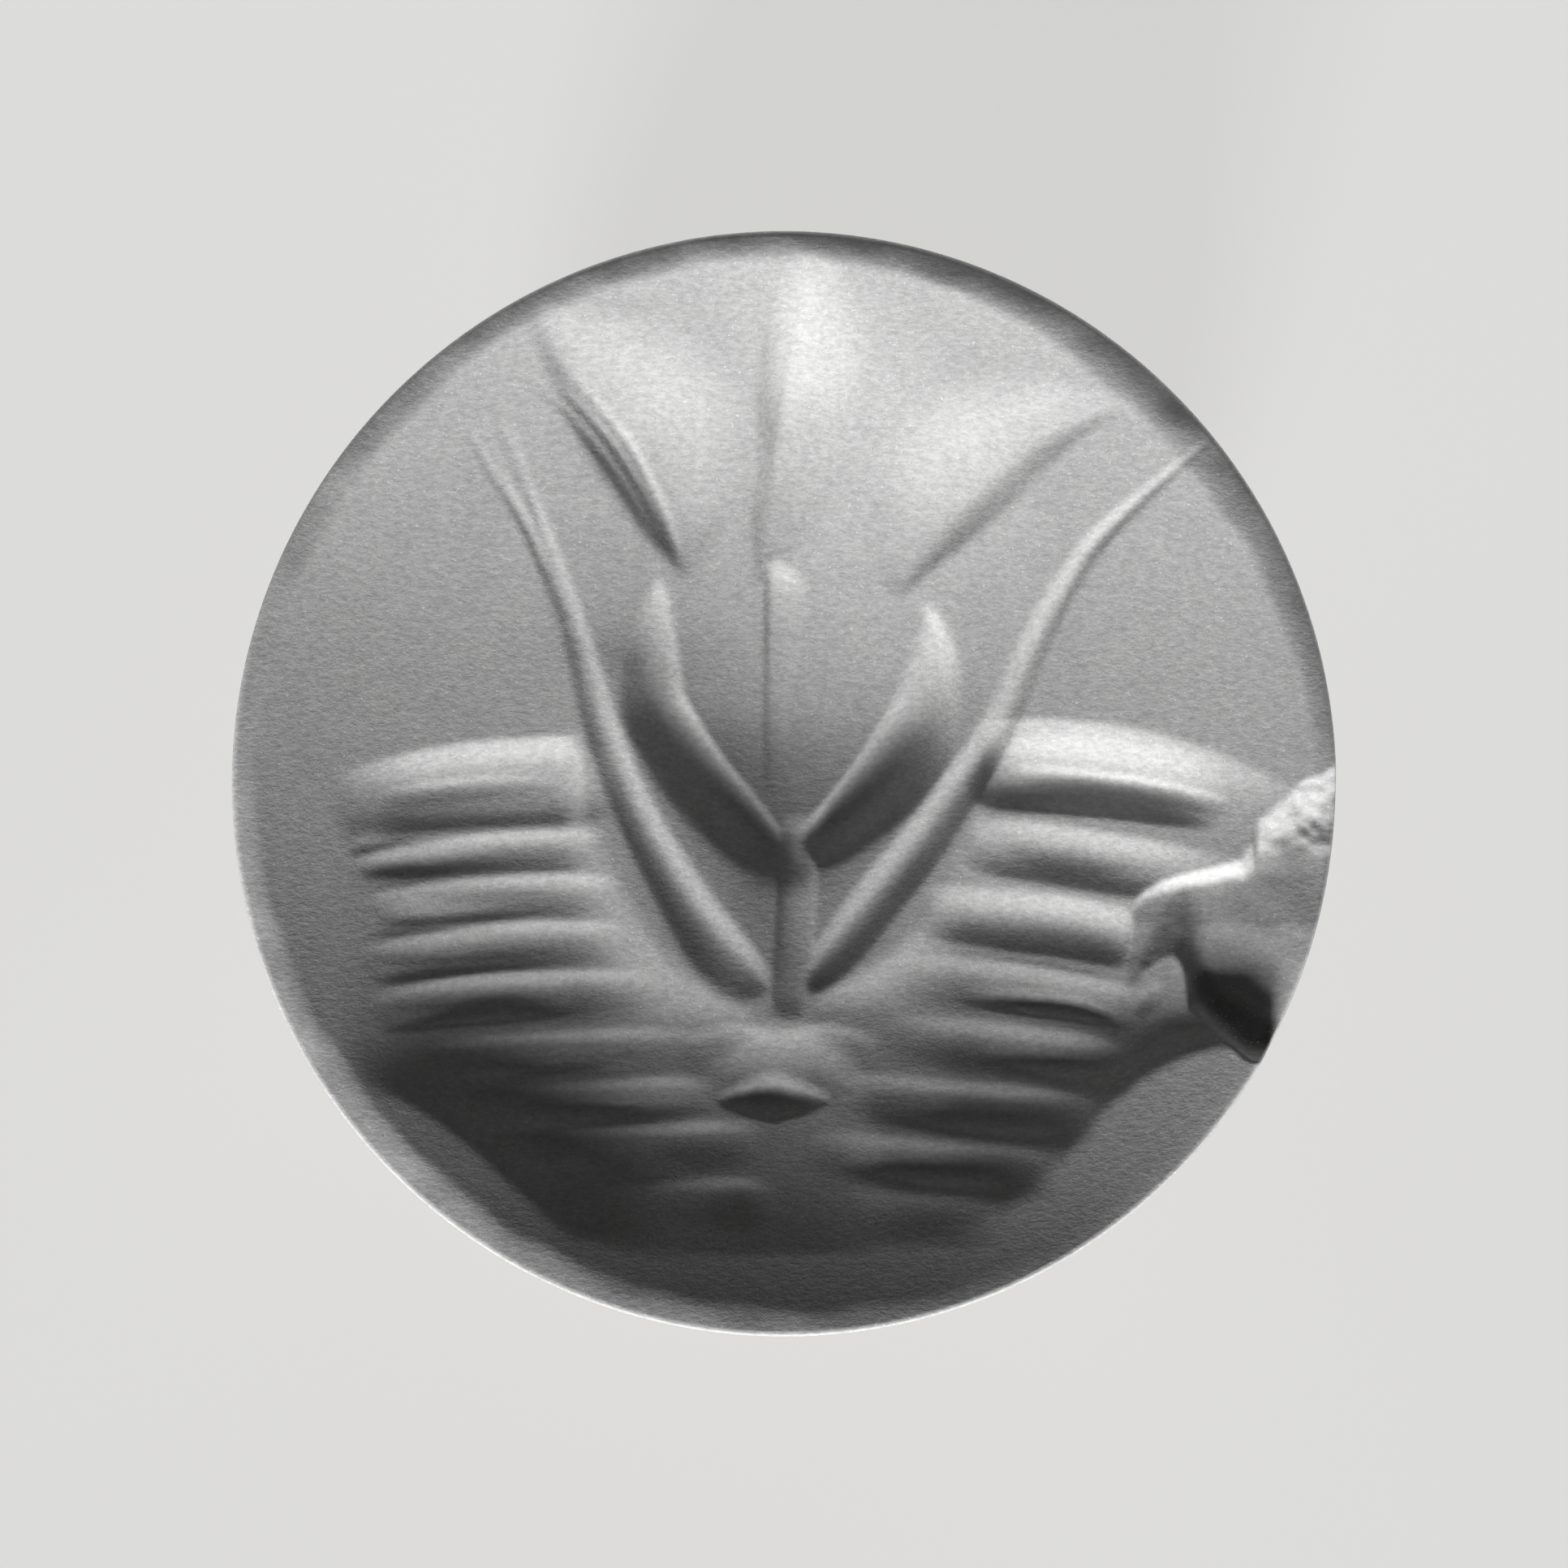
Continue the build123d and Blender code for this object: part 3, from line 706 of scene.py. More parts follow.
# %% Fine lines
second_lines = [
    [(-9.2, -0.3, 0), (-8.3, -0.15, 0.03), (-7.2, -0.02, 0.04), (-6.0, 0.04, 0.025),
     (-5.0, 0.02, 0)],
    [(5.2, 0.25, 0), (6.0, 0.2, 0.05), (7.2, 0.08, 0.075), (8.6, -0.12, 0.07),
     (9.6, -0.33, 0.04), (10.2, -0.45, 0)],
]
dark_lines = [
    [(-8.9, -0.98, 0), (-7.4, -0.88, 0.012), (-5.8, -0.82, 0.015), (-4.1, -0.84, 0)],
    [(-9.7, -1.95, 0), (-9.0, -1.9, 0.04), (-8.2, -1.88, 0.04), (-7.3, -1.78, 0.02),
     (-6.2, -1.7, 0)],
    [(-9.9, -1.5, 0), (-9.5, -1.4, 0.03), (-8.9, -1.25, 0.015), (-8.3, -1.1, 0)],
    [(-9.3, -3.08, 0), (-8.5, -3.0, 0.035), (-7.4, -2.92, 0.025), (-6.0, -2.85, 0.01),
     (-5.3, -2.8, 0)],
    [(-9.6, -3.42, 0), (-8.2, -3.24, 0.04), (-6.8, -3.06, 0.025), (-5.6, -2.98, 0)],
    [(-9.2, -3.97, 0), (-8.2, -3.88, 0.03), (-7.2, -3.82, 0.025), (-5.8, -3.74, 0.01),
     (-5.0, -3.72, 0)],
    [(-9.4, -4.42, 0), (-8.2, -4.24, 0.04), (-6.7, -4.1, 0.025), (-5.0, -3.98, 0)],
    [(-8.9, -5.02, 0), (-7.6, -4.92, 0.035), (-6.2, -4.82, 0.03), (-4.8, -4.77, 0)],
    [(-9.1, -5.52, 0), (-7.6, -5.3, 0.05), (-6.1, -5.17, 0.04), (-4.6, -5.1, 0)],
    [(-7.2, -6.85, 0), (-5.8, -6.72, 0.03), (-4.2, -6.62, 0.025), (-2.6, -6.55, 0)],
    [(-6.6, -7.55, 0), (-5.0, -7.4, 0.025), (-3.4, -7.34, 0.03), (-1.6, -7.3, 0)],
    [(-5.6, -8.95, 0), (-4.4, -8.9, 0.025), (-3.2, -8.85, 0.02), (-2.0, -8.8, 0)],
    [(-7.8, -6.55, 0), (-6.6, -6.48, 0.04), (-5.0, -6.35, 0.03), (-3.6, -6.2, 0)],
    [(-7.0, -7.8, 0), (-5.4, -7.65, 0.035), (-3.6, -7.58, 0.035), (-1.9, -7.56, 0)],
    [(-6.2, -8.6, 0), (-5.0, -8.6, 0.03), (-3.6, -8.55, 0.02), (-2.6, -8.5, 0)],
    [(3.9, -3.72, 0), (5.2, -3.86, 0.02), (6.6, -4.08, 0.02), (7.8, -4.3, 0)],
    [(4.3, -3.55, 0), (5.4, -3.66, 0.015), (6.8, -3.86, 0.015), (7.9, -4.05, 0)],
    [(4.0, -4.85, 0), (5.2, -5.0, 0.05), (6.6, -5.15, 0.06), (7.9, -5.45, 0)],
    [(4.2, -6.2, 0), (5.4, -6.35, 0.03), (6.6, -6.5, 0.04), (7.6, -6.65, 0)],
    [(2.2, -7.5, 0), (3.8, -7.65, 0.03), (5.2, -7.8, 0.035), (6.6, -7.85, 0)],
    [(1.2, -8.65, 0), (2.6, -8.8, 0.035), (4.0, -8.95, 0.04), (5.4, -8.95, 0)],
]
petal_lines = [
    [(-7.3, 8.3, 0), (-6.7, 7.2, 0.025), (-5.95, 6.0, 0.04), (-5.45, 4.9, 0.04), (-5.05, 3.7, 0)],
    [(-6.9, 8.3, 0), (-6.3, 6.9, 0.015), (-5.65, 5.6, 0.025), (-5.2, 4.5, 0.02), (-4.95, 3.7, 0)],
    [(-6.7, 8.8, 0), (-6.0, 6.9, 0.015), (-5.5, 5.7, 0.02), (-5.05, 4.5, 0)],
    [(-5.4, 9.2, 0), (-4.6, 8.5, 0.03), (-3.8, 7.55, 0.05), (-3.05, 6.3, 0.045), (-2.6, 5.2, 0)],
    [(-4.8, 9.2, 0), (-4.1, 8.4, 0.03), (-3.4, 7.45, 0.055), (-2.75, 6.1, 0.05), (-2.4, 5.0, 0)],
    [(-5.8, 9.3, 0), (-4.9, 8.4, 0.025), (-4.15, 7.5, 0.04), (-3.4, 6.4, 0.03), (-2.85, 5.4, 0)],
]
middle_lines = [
    [(-0.85, 5.9, 0), (-0.7, 7.0, 0.02), (-0.4, 8.6, 0.025), (-0.2, 10.0, 0)],
    [(-0.4, 5.9, 0), (-0.2, 7.2, 0.04), (0.05, 8.8, 0.06), (0.3, 10.2, 0.05), (0.5, 11.4, 0)],
    [(1.4, 6.3, 0), (1.7, 7.4, 0.015), (1.95, 8.6, 0.015), (2.1, 9.6, 0)],
]
line_groups = [
    (second_lines, 0.17, 0.4, 1.0, 1.6),
    (dark_lines, 0.42, 0.2, 2.0, 1.0),
    (petal_lines, 0.2, 0.13, 1.6, 1.0),
    (middle_lines, 0.16, 0.6, 1.0, 1.6),
]
lines = add_cuts(np.zeros_like(across), line_groups)
print(sum(len(cuts) for cuts, *walls in line_groups), "fine lines")

# %% [markdown]
# Below the foot of the flower lies a short ground line, and under it a seed: a small pit whose
# lower wall is steep and whose upper wall is so gentle that it hardly shows.

# %% Ground line and seed
ground_line = stroke([
    (-2.4, -6.0, 0.4, 1.2, 0.0),
    (-1.6, -5.92, 0.42, 1.4, 0.045),
    (-0.9, -5.88, 0.42, 1.5, 0.055),
    (-0.1, -6.05, 0.5, 1.5, 0.03),
    (0.8, -5.88, 0.42, 1.5, 0.055),
    (1.4, -5.92, 0.42, 1.4, 0.045),
    (2.2, -6.0, 0.4, 1.2, 0.0),
], soft_left=1.15, soft_right=1.8)
seed = stroke([
    (-1.6, -7.2, 0.3, 0.2, 0.0),
    (-1.0, -7.15, 0.5, 0.42, 0.08),
    (-0.25, -7.1, 0.62, 0.58, 0.15),
    (0.5, -7.15, 0.5, 0.42, 0.08),
    (1.1, -7.2, 0.3, 0.2, 0.0),
], soft_left=2.4, soft_right=1.2)
crisp = wear(flower + ribs + lines + ground_line + seed, radius=0.028)
print("crisp cuts", round(crisp.max(), 2), "mm deep")

# %% [markdown]
# An old chip is broken out of the right edge. It is smooth and shell-shaped, like most breaks in
# fine stone. It has an upper wall, a lower wall, an inner wall and a floor, and is as deep as
# the highest of these lets it be at each spot. The left part of the floor rises like a ramp, and
# the right part rolls gently. Crumbs broke away at its upper corner.

# %% The chip
waver = 0.1 * uneven(size=0.9, seed=6) + 0.04 * uneven(size=0.35, seed=7)
broken = 0.05 * uneven(size=1.5, seed=3) + 0.012 * uneven(size=0.5, seed=4)
chip_edge = [
    (7.4, -3.4), (7.9, -2.8), (8.15, -2.47), (8.6, -2.12), (9.1, -1.93), (9.8, -1.82),
    (10.4, -1.68), (10.65, -1.3), (10.75, -0.8), (11.2, -0.35), (11.8, 0.1), (12.6, 0.7),
]
chip_foot = [
    (7.4, -6.5), (8.9, -5.35), (9.3, -5.15), (9.9, -5.7), (10.5, -6.25), (11.2, -6.5), (12.6, -7.0),
]
edge_slopes = [(10.2, 1.2), (10.8, 0.6)]
foot_slope = 0.95
inner_end = 7.75
inner_slope = 0.4
left_depth = 0.56
left_ramp = 0.3
right_depths = [(-5.4, 0.42), (-4.2, 0.4), (-3.2, 0.36), (-2.0, 0.46)]
floors_meet = 8.8
meeting_width = 0.8
roll_start = 10.2
roll_depth = 0.08
crumb_corner = (10.6, -1.8)
crumb_fade = 0.5
crumb_depth = 0.06
wall_rounding = 0.07


def along(points, place):
    """Value at a place, on straight lines from point to point."""
    return np.interp(place, *np.array(points).T)


below_edge = along(chip_edge, across) + 0.5 * waver - upward
above_foot = upward - along(chip_foot, across) + 0.5 * waver
outward = ease((from_axis - roll_start) / (face_radius - roll_start))
crumbs = crumb_depth * (uneven(size=0.45, seed=13) + 0.5 * uneven(size=0.2, seed=14))
crumbs *= ease((across - crumb_corner[0]) / crumb_fade)
crumbs *= ease((upward - crumb_corner[1]) / crumb_fade)
left_floor = left_depth - left_ramp * below_edge + 0.016 * uneven(size=0.25, seed=11)
right_floor = along(right_depths, upward) + roll_depth * outward + broken
chip = left_floor + (right_floor - left_floor) * ease((across - floors_meet) / meeting_width)
upper_wall = along(edge_slopes, across) * below_edge
inner_wall = inner_slope * (across - inner_end + waver)
for wall in (upper_wall, foot_slope * above_foot, inner_wall):
    chip = -deeper(-chip, -wall, wall_rounding)
chip = wear(np.maximum(chip + crumbs, 0), radius=0.03)
print("break", round(chip[on_disc].max(), 2), "mm deep")

# %% [markdown]
# One scratch runs off the chip, and a small nick is broken out further up. A shadow is painted
# at the foot of the chip's lower wall, so that the shade there is nearly black. It is a map as
# well, though it has no depth: it only tells the finish how dark to be. The chip goes down
# from the floor of the basket, so the basket's depth is added to it.

# %% Scratch, nick and painted shadow
scratch_points = [(7.75, -5.35, 0), (8.2, -4.9, 0.07), (8.65, -4.45, 0)]
scratch = score(scratch_points, left=0.2, right=0.35)
nick = stroke([
    (9.95, 6.65, 0.2, 0.15, 0.0),
    (10.2, 6.5, 0.3, 0.15, 0.06),
    (10.6, 6.15, 0.3, 0.15, 0.0),
])
# Painted shadow: a map of where the foot of the chip's lower wall is painted dark.
chip_shadow = stroke([
    (9.25, -3.3, 0.16, 0.16, 0.0),
    (9.35, -4.1, 0.22, 0.22, 0.6),
    (9.65, -4.75, 0.36, 0.36, 1.0),
    (10.2, -5.25, 0.5, 0.5, 1.0),
    (10.9, -5.75, 0.55, 0.55, 1.0),
    (12.6, -6.2, 0.5, 0.5, 0.6),
], taper=0.0)
shadow_from = 0.1
chip_shadow = wear(chip_shadow, radius=0.1) * ease(chip / shadow_from)
chip += basket + scratch + nick
print("chip", round(chip[on_disc].max(), 2), "mm deep")

# %% [markdown]
# The rim is only a gentle round. It falls away most at the top and the upper right, less at
# the lower left, and hardly at all at the lower right. With it the height of the face is
# complete. The face also bends up a little towards its top and its foot.

# %% Height of the whole face
rim_turns = [0, 20, 45, 90, 140, 180, 225, 265, 300, 340]
rim_widths = [0.5, 0.75, 0.9, 0.6, 0.65, 0.6, 0.8, 0.7, 0.4, 0.4]
rim_slopes = [0.2, 0.36, 0.44, 0.46, 0.42, 0.25, 0.24, 0.18, 0.04, 0.08]
rim_bow = 1.5
rim_waver = 0.12 * uneven(size=0.9, seed=9)
lift_above = 3
top_lift = 0.006
lift_below = -9
foot_lift = 0.01

around = np.degrees(np.arctan2(upward, across))
rim_width = np.interp(around, rim_turns, rim_widths, period=360) * (1 + rim_waver)
rim_slope = np.interp(around, rim_turns, rim_slopes, period=360)
over_rim = np.clip((from_axis - face_radius + rim_width) / rim_width, 0, 1)
rim = rim_slope * rim_width * over_rim**rim_bow
cuts = hollows + petals + crisp
ground = plain_dish + top_lift * np.clip(upward - lift_above, 0, None) ** 2
ground += foot_lift * np.clip(lift_below - upward, 0, None) ** 2
face_map = np.minimum(ground - cuts - rim, ground - chip)
face_map -= face_map[on_disc].max()
print("face spans", round(-face_map[on_disc].min(), 2), "mm")

# %% [markdown]
# ## The stone die
# The mesh of the face has rings of triangles, each with six more than the one inside it, so
# the triangles are all of one size and no stroke is cut by a coarse patch. From the rim, rows
# go on down the band, the rounded flank and the tenon in the holder.

# %% Rings of the face
ring_count = 164
edge_round = 0.06
rim_segments = 6 * ring_count


def full_turn(count):
    """Angles of even steps round the axis."""
    return np.arange(count) * 2 * np.pi / count


def circle(radius, turns):
    """Points x and y round the axis."""
    return np.column_stack([radius * np.cos(turns), radius * np.sin(turns)])


def read_map(chart, x, y):
    """Value of a map at points, blended from the four nearest spots."""
    u = (x + map_half) / map_step
    v = (y + map_half) / map_step
    i, j = u.astype(int), v.astype(int)
    s, t = u - i, v - j
    low = chart[j, i] * (1 - s) + chart[j, i + 1] * s
    high = chart[j + 1, i] * (1 - s) + chart[j + 1, i + 1] * s
    return low * (1 - t) + high * t


def ring_start(k):
    """Number of the first vertex of ring k."""
    return 0 if k == 0 else 1 + 3 * k * (k - 1)


def ring_triangles(k):
    """Triangles between ring k and the one inside it."""
    sector, step = np.divmod(np.arange(6 * k), k)
    outer = ring_start(k) + np.arange(6 * k)
    outer_next = ring_start(k) + (np.arange(6 * k) + 1) % (6 * k)
    inside = max(6 * (k - 1), 1)
    inner = ring_start(k - 1) + (sector * (k - 1) + step) % inside
    inner_next = ring_start(k - 1) + (sector * (k - 1) + step + 1) % inside
    facing_in = step < k - 1
    first = np.column_stack([outer, outer_next, inner])
    second = np.column_stack([inner, outer_next, inner_next])[facing_in]
    return np.vstack([first, second])


ring_numbers = range(1, ring_count + 1)
rings = [circle(k / ring_count, full_turn(6 * k)) for k in ring_numbers]
face_xy = np.vstack([np.zeros((1, 2)), *rings]) * (face_radius - edge_round)
face_z = top("seal_die") + read_map(face_map, *face_xy.T)
face_triangles = np.vstack([ring_triangles(k) for k in ring_numbers])
print(len(face_triangles), "triangles on the face")

# %% [markdown]
# The flank is an arc that leaves the band straight down and ends at the holder. The same kind
# of arc shapes the handle and the holder's cove, so it has a helper. In the chip the band is
# broken too: it starts lower there, and is eaten in.

# %% Band, flank and tenon of the die
band_foot = 79.7
tenon_radius = 7.0
tenon_chamfer = 0.4
band_rows = (0.15, 0.35, 0.6, 1.0)
flank_rows = 7
chip_bite = 0.25


def swell(crest, end, count):
    """Arc that runs along the axis at its crest and goes on to an end, in radius and level."""
    drop = end[1] - crest[1]
    centre = (crest[0] ** 2 - end[0] ** 2 - drop**2) / (2 * (crest[0] - end[0]))
    radius = crest[0] - centre
    levels = crest[1] + drop * np.linspace(0, 1, count + 1)[1:]
    sag = np.sqrt(radius**2 - (levels - crest[1]) ** 2)
    return np.column_stack([centre + math.copysign(1, radius) * sag, levels])


rim_turn = full_turn(rim_segments)
rim_z = face_z[ring_start(ring_count):]
rim_chip = read_map(chip, *circle(face_radius, rim_turn).T)
side_rows = [
    (face_radius - edge_round / 3, rim_z - edge_round / 2),
    (face_radius, rim_z - edge_round),
]
for share in band_rows:
    bite = chip_bite * rim_chip * (1 - share) ** 2
    side_rows.append((face_radius - bite, (rim_z - edge_round) * (1 - share) + band_foot * share))
flank_end = (reach("die_holder"), top("die_holder"))
tenon_end = bottom("seal_die")
side_rows += [
    *swell((face_radius, band_foot), flank_end, flank_rows),
    (tenon_radius, top("die_holder")),
    (tenon_radius, tenon_end + tenon_chamfer),
    (tenon_radius - tenon_chamfer, tenon_end),
]
print(len(side_rows), "rows below the rim")

# %% [markdown]
# The rows are joined to the last ring of the face with strips of four-sided faces, and a fan
# closes the tenon's end. Two numbers ride along on the mesh for the finish: how deep each spot
# was cut, and where a shadow is painted in the chip.

# %% Mesh of the die


def make_piece(name, points, faces, body, stands_for, marks=None):
    """Makes a mesh from points in millimetres, ties it to its body, and hides its solid."""
    mesh = bpy.data.meshes.new(name)
    mesh.from_pydata([tuple(row) for row in np.asarray(points) * mm], [], faces)
    mesh.shade_smooth()
    for key, values in (marks or {}).items():
        numbers = mesh.attributes.new(key, "FLOAT", "POINT").data
        numbers.foreach_set("value", np.asarray(values, np.float32))
    piece = bpy.data.objects.new(name, mesh)
    scene.collection.objects.link(piece)
    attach(piece, body)
    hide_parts(stands_for)
    print(name, len(mesh.polygons), "faces")
    return piece


def strip(first, second, count):
    """Faces between two closed rows of vertices that start at these numbers."""
    here = np.arange(count)
    after = (here + 1) % count
    return np.column_stack([first + here, second + here, second + after, first + after]).tolist()


die_points = [np.column_stack([face_xy, face_z])]
die_faces = face_triangles.tolist()
row_start = ring_start(ring_count)
next_start = len(face_xy)
for radius, level in side_rows:
    level = np.broadcast_to(level, rim_segments)
    die_points.append(np.column_stack([circle(radius, rim_turn), level]))
    die_faces += strip(row_start, next_start, rim_segments)
    row_start = next_start
    next_start += rim_segments
die_points.append(np.array([[0, 0, tenon_end]]))
last_row = row_start + np.arange(rim_segments)
die_faces += [(next_start, after, here) for here, after in zip(last_row, np.roll(last_row, -1))]
die_points = np.vstack(die_points)


def on_face(chart):
    """A map's values at the points of the face, and 0 at the points below it."""
    values = np.zeros(len(die_points))
    values[: len(face_xy)] = read_map(chart, *face_xy.T)
    return values


die_marks = {"cut": on_face(petals + crisp), "chip_shadow": on_face(chip_shadow)}
die = make_piece("stone_die", die_points, die_faces, "head", "seal_die", die_marks)

# %% [markdown]
# The stone is a fine pale grey with a faint mottle and grains of a tenth of a millimetre. The
# wheel leaves its cuts frosted, and a frosted surface scatters more light, so the cuts are
# paler than the rubbed field. Tiny pale crystals are painted near white, as painted glints.
# The band and the flank were never polished. They, and every other surface that faces
# sideways, are painted darker: painted shade that keeps the low lamp from washing them out.
# The chip's shadow is painted nearly black.

# %% Finish of the stone
pale_stone = (0.74, 0.74, 0.735, 1)
mottled_stone = (0.63, 0.63, 0.63, 1)
frosted_cut = (0.81, 0.81, 0.805, 1)
glint_white = (0.97, 0.97, 0.97, 1)
shaded_side_stone = (0.4, 0.395, 0.385, 1)
painted_shadow_black = (0.07, 0.068, 0.065, 1)
stone_paint, tree, shader = start_finish("grey_stone")


def facing_up(tree):
    """How far a surface faces up: 1 on top, 0 at the side."""
    normal = add(tree, "ShaderNodeNewGeometry").outputs["Normal"]
    return add(tree, "ShaderNodeSeparateXYZ", {"Vector": normal}).outputs["Z"]


grain = speckle(tree, size=0.12, detail=3.0, stretch=(0.6, 1, 1), roughness=0.75)
cloud = speckle(tree, size=1.1, detail=5.0, roughness=0.62)
glint_specks = speckle(tree, size=0.06, detail=0.0)
colour = tint(tree, pale_stone, mottled_stone, cloud, (0.35, 0.7), most=0.55)
colour = tint(tree, colour, frosted_cut, mark(tree, "cut"), (0.01, 0.14))
# Painted shade: surfaces that face sideways are painted darker, so that the low lamp doesn't wash
# out the band and the flank.
colour = tint(tree, colour, shaded_side_stone, facing_up(tree), (0.45, 0.15))
# Painted shadow: the foot of the chip's lower wall is painted nearly black.
colour = tint(tree, colour, painted_shadow_black, mark(tree, "chip_shadow"), (0.1, 0.9), most=0.9)
grain_shade = between(tree, grain, (0.3, 0.7), (0.8, 1.18))
colour = blend_colour(tree, 1.0, colour, grain_shade, blend="MULTIPLY")
dress(tree, shader, {
    # Pale crystal grains, painted near white so that they also serve as painted glints.
    "Base Color": tint(tree, colour, glint_white, glint_specks, (0.74, 0.8)),
    "Roughness": between(tree, grain, (0.3, 0.7), (0.62, 0.82)),
    "Specular IOR Level": 0.3,
    "Normal": relief(tree, grain, depth=0.011),
})
die.data.materials.append(stone_paint)
print("stone finished")

# %% [markdown]
# ## Turned pieces
# Everything below the die was turned on a lathe, and a lathe needs only an outline: points
# with a radius and a level. The outline runs up the outside and back down the bore. Real edges
# are never sharp, so each corner is cut back a little, and the outline is divided finely, so
# that a number for wear can be kept at each point: below 0 on worn edges, above 0 in corners
# where tarnish stays.

# %% A lathe
lathe_steps = 192
tiny = 1e-6
full_wear = 0.06


def soften(corners, count=4):
    """Rounds off the corners of an outline: each is radius, level and how far it is cut back."""
    rows = []
    for k, (radius, level, back) in enumerate(corners):
        here = np.array((radius, level))
        if back == 0:
            rows.append(here)
            continue
        before = np.array(corners[k - 1][:2]) - here
        after = np.array(corners[(k + 1) % len(corners)][:2]) - here
        to_before, to_after = np.linalg.norm(before), np.linalg.norm(after)
        for t in np.linspace(0, 1, count + 1):
            pull = (1 - t) ** 2 * before / to_before + t**2 * after / to_after
            rows.append(here + back * pull)
    return rows


def divide(rows, longest=0.45):
    """Divides an outline so that no span is longer than this."""
    made = [np.array(rows[0], float)]
    for row in rows[1:]:
        span = np.array(row, float) - made[-1]
        parts = max(1, math.ceil(np.linalg.norm(span) / longest))
        made += [made[-1] + span * k / parts for k in range(1, parts)] + [np.array(row, float)]
    return np.array(made)


def edge_wear(rows, width=0.4, near=0.05):
    """How far each point of an outline lies under the points around: edges come out below 0."""
    gaps = np.linalg.norm(np.diff(rows, axis=0), axis=1)
    run = np.concatenate([[0], np.cumsum(gaps)])

    def further(offset):
        return np.column_stack([np.interp(run + offset, run, column) for column in rows.T])

    offsets = np.linspace(-width, width, 9)
    middle = sum(further(offset) for offset in offsets) / len(offsets)
    way = further(near) - further(-near)
    way /= np.maximum(np.linalg.norm(way, axis=1), tiny)[:, None]
    outside = np.column_stack([way[:, 1], -way[:, 0]])
    return np.clip(((middle - rows) * outside).sum(axis=1) / full_wear, -1, 1)


def turned(name, rows, body, stands_for, turns=None, groove=None):
    """Turns an outline round the axis. It ends in points on the axis, or closes up on itself."""
    turns = full_turn(lathe_steps) if turns is None else turns
    rows = divide(rows)
    worn = edge_wear(rows)
    count = len(turns)
    points, faces, marks, starts = [], [], [], []
    for (radius, level), mark_here in zip(rows, worn):
        starts.append(len(points))
        if radius < tiny:
            points.append((0, 0, level))
            marks.append(mark_here)
            continue
        inward = 0 if groove is None else groove(turns, radius, level)
        points += [(x, y, level) for x, y in circle(radius - inward, turns)]
        marks += list(mark_here + np.broadcast_to(inward, count))
    spans = list(zip(range(len(rows) - 1), range(1, len(rows))))
    if rows[0][0] > tiny:
        spans.append((len(rows) - 1, 0))
    for here, after in spans:
        a, b = starts[here], starts[after]
        if rows[here][0] < tiny:
            faces += [(a, b + (k + 1) % count, b + k) for k in range(count)]
        elif rows[after][0] < tiny:
            faces += [(b, a + k, a + (k + 1) % count) for k in range(count)]
        else:
            faces += strip(b, a, count)
    return make_piece(name, points, faces, body, stands_for, {"worn": marks})


print("lathe ready")

# %% [markdown]
# The die holder has a foot ring that sits on the leather, a neck, a cove that opens out, and a
# grip band with 45 straight flutes of V section. The lathe cuts the outline, and a small
# function presses the flutes into the band, where the fingers turn the head.

# %% Die holder
flute_count = 45
flute_depth = 0.4
flute_margin = 0.7
flute_skin = 0.01
grip_height = 4.4
holder_edge = 0.4
holder_foot_radius = 6.9
holder_foot_height = 1.8
neck_radius = 5.15
neck_height = 3.4
bore_radius = 3.05
bore_relief = 0.8
edge_break = 0.12
holder_base = bottom("die_holder")
holder_seat = top("die_holder")
grip_foot = holder_seat - grip_height
grip_radius = reach("die_holder")
pocket_radius = reach("setting_cement")
pocket_floor = bottom("setting_cement")
bore_end = top("tie_rod") + bore_relief

flute_shares = np.array([-1.35, -1.0, -0.5, -0.06, 0.06, 0.5, 1.0, 1.35])
flute_middles = full_turn(flute_count)[:, None]
flute_turns = (flute_middles + flute_shares * flute_depth / grip_radius).ravel()


def flutes(turns, radius, level):
    """How far the flutes are cut in at each turn, on the outside of the grip band."""
    if radius < grip_radius - flute_skin:
        return 0.0
    inside = min(level - grip_foot, holder_seat - level) - flute_margin
    pitch = 2 * np.pi / flute_count
    beside = np.abs((turns + pitch / 2) % pitch - pitch / 2) * grip_radius
    return np.clip(flute_depth - beside, 0, None) * (inside > 0)


flute_end = 0.03
cove_foot = (neck_radius, holder_base + neck_height)
cove_top = (grip_radius - holder_edge, grip_foot - holder_edge)
cove = swell(cove_foot, cove_top, count=14)
holder_outline = soften(
    [
        (0, bore_end, 0),
        (bore_radius, bore_end, 0),
        (bore_radius, holder_base, edge_break),
        (holder_foot_radius - holder_edge, holder_base, edge_break),
        (holder_foot_radius, holder_base + holder_edge, edge_break),
        (holder_foot_radius, holder_base + holder_foot_height - holder_edge, edge_break),
        (holder_foot_radius - holder_edge, holder_base + holder_foot_height, edge_break),
        (neck_radius, holder_base + holder_foot_height, 2 * edge_break),
        (*cove_foot, 0),
        *[(r, z, 0) for r, z in cove],
        (grip_radius, grip_foot, edge_break),
        (grip_radius, grip_foot + flute_margin - flute_end, 0),
        (grip_radius, grip_foot + flute_margin + flute_end, 0),
        (grip_radius, holder_seat - flute_margin - flute_end, 0),
        (grip_radius, holder_seat - flute_margin + flute_end, 0),
        (grip_radius, holder_seat, edge_break),
        (pocket_radius, holder_seat, 0),
        (pocket_radius, pocket_floor, 0),
        (0, pocket_floor, 0),
    ]
)
holder = turned("brass_holder", holder_outline, "head", "die_holder", flute_turns, flutes)

# %% [markdown]
# The ferrule is a brass sleeve with a collar at its foot and a faint waist. It holds the wood
# together where the screw pulls, and the nut that clamps it lies in the recess at its top.

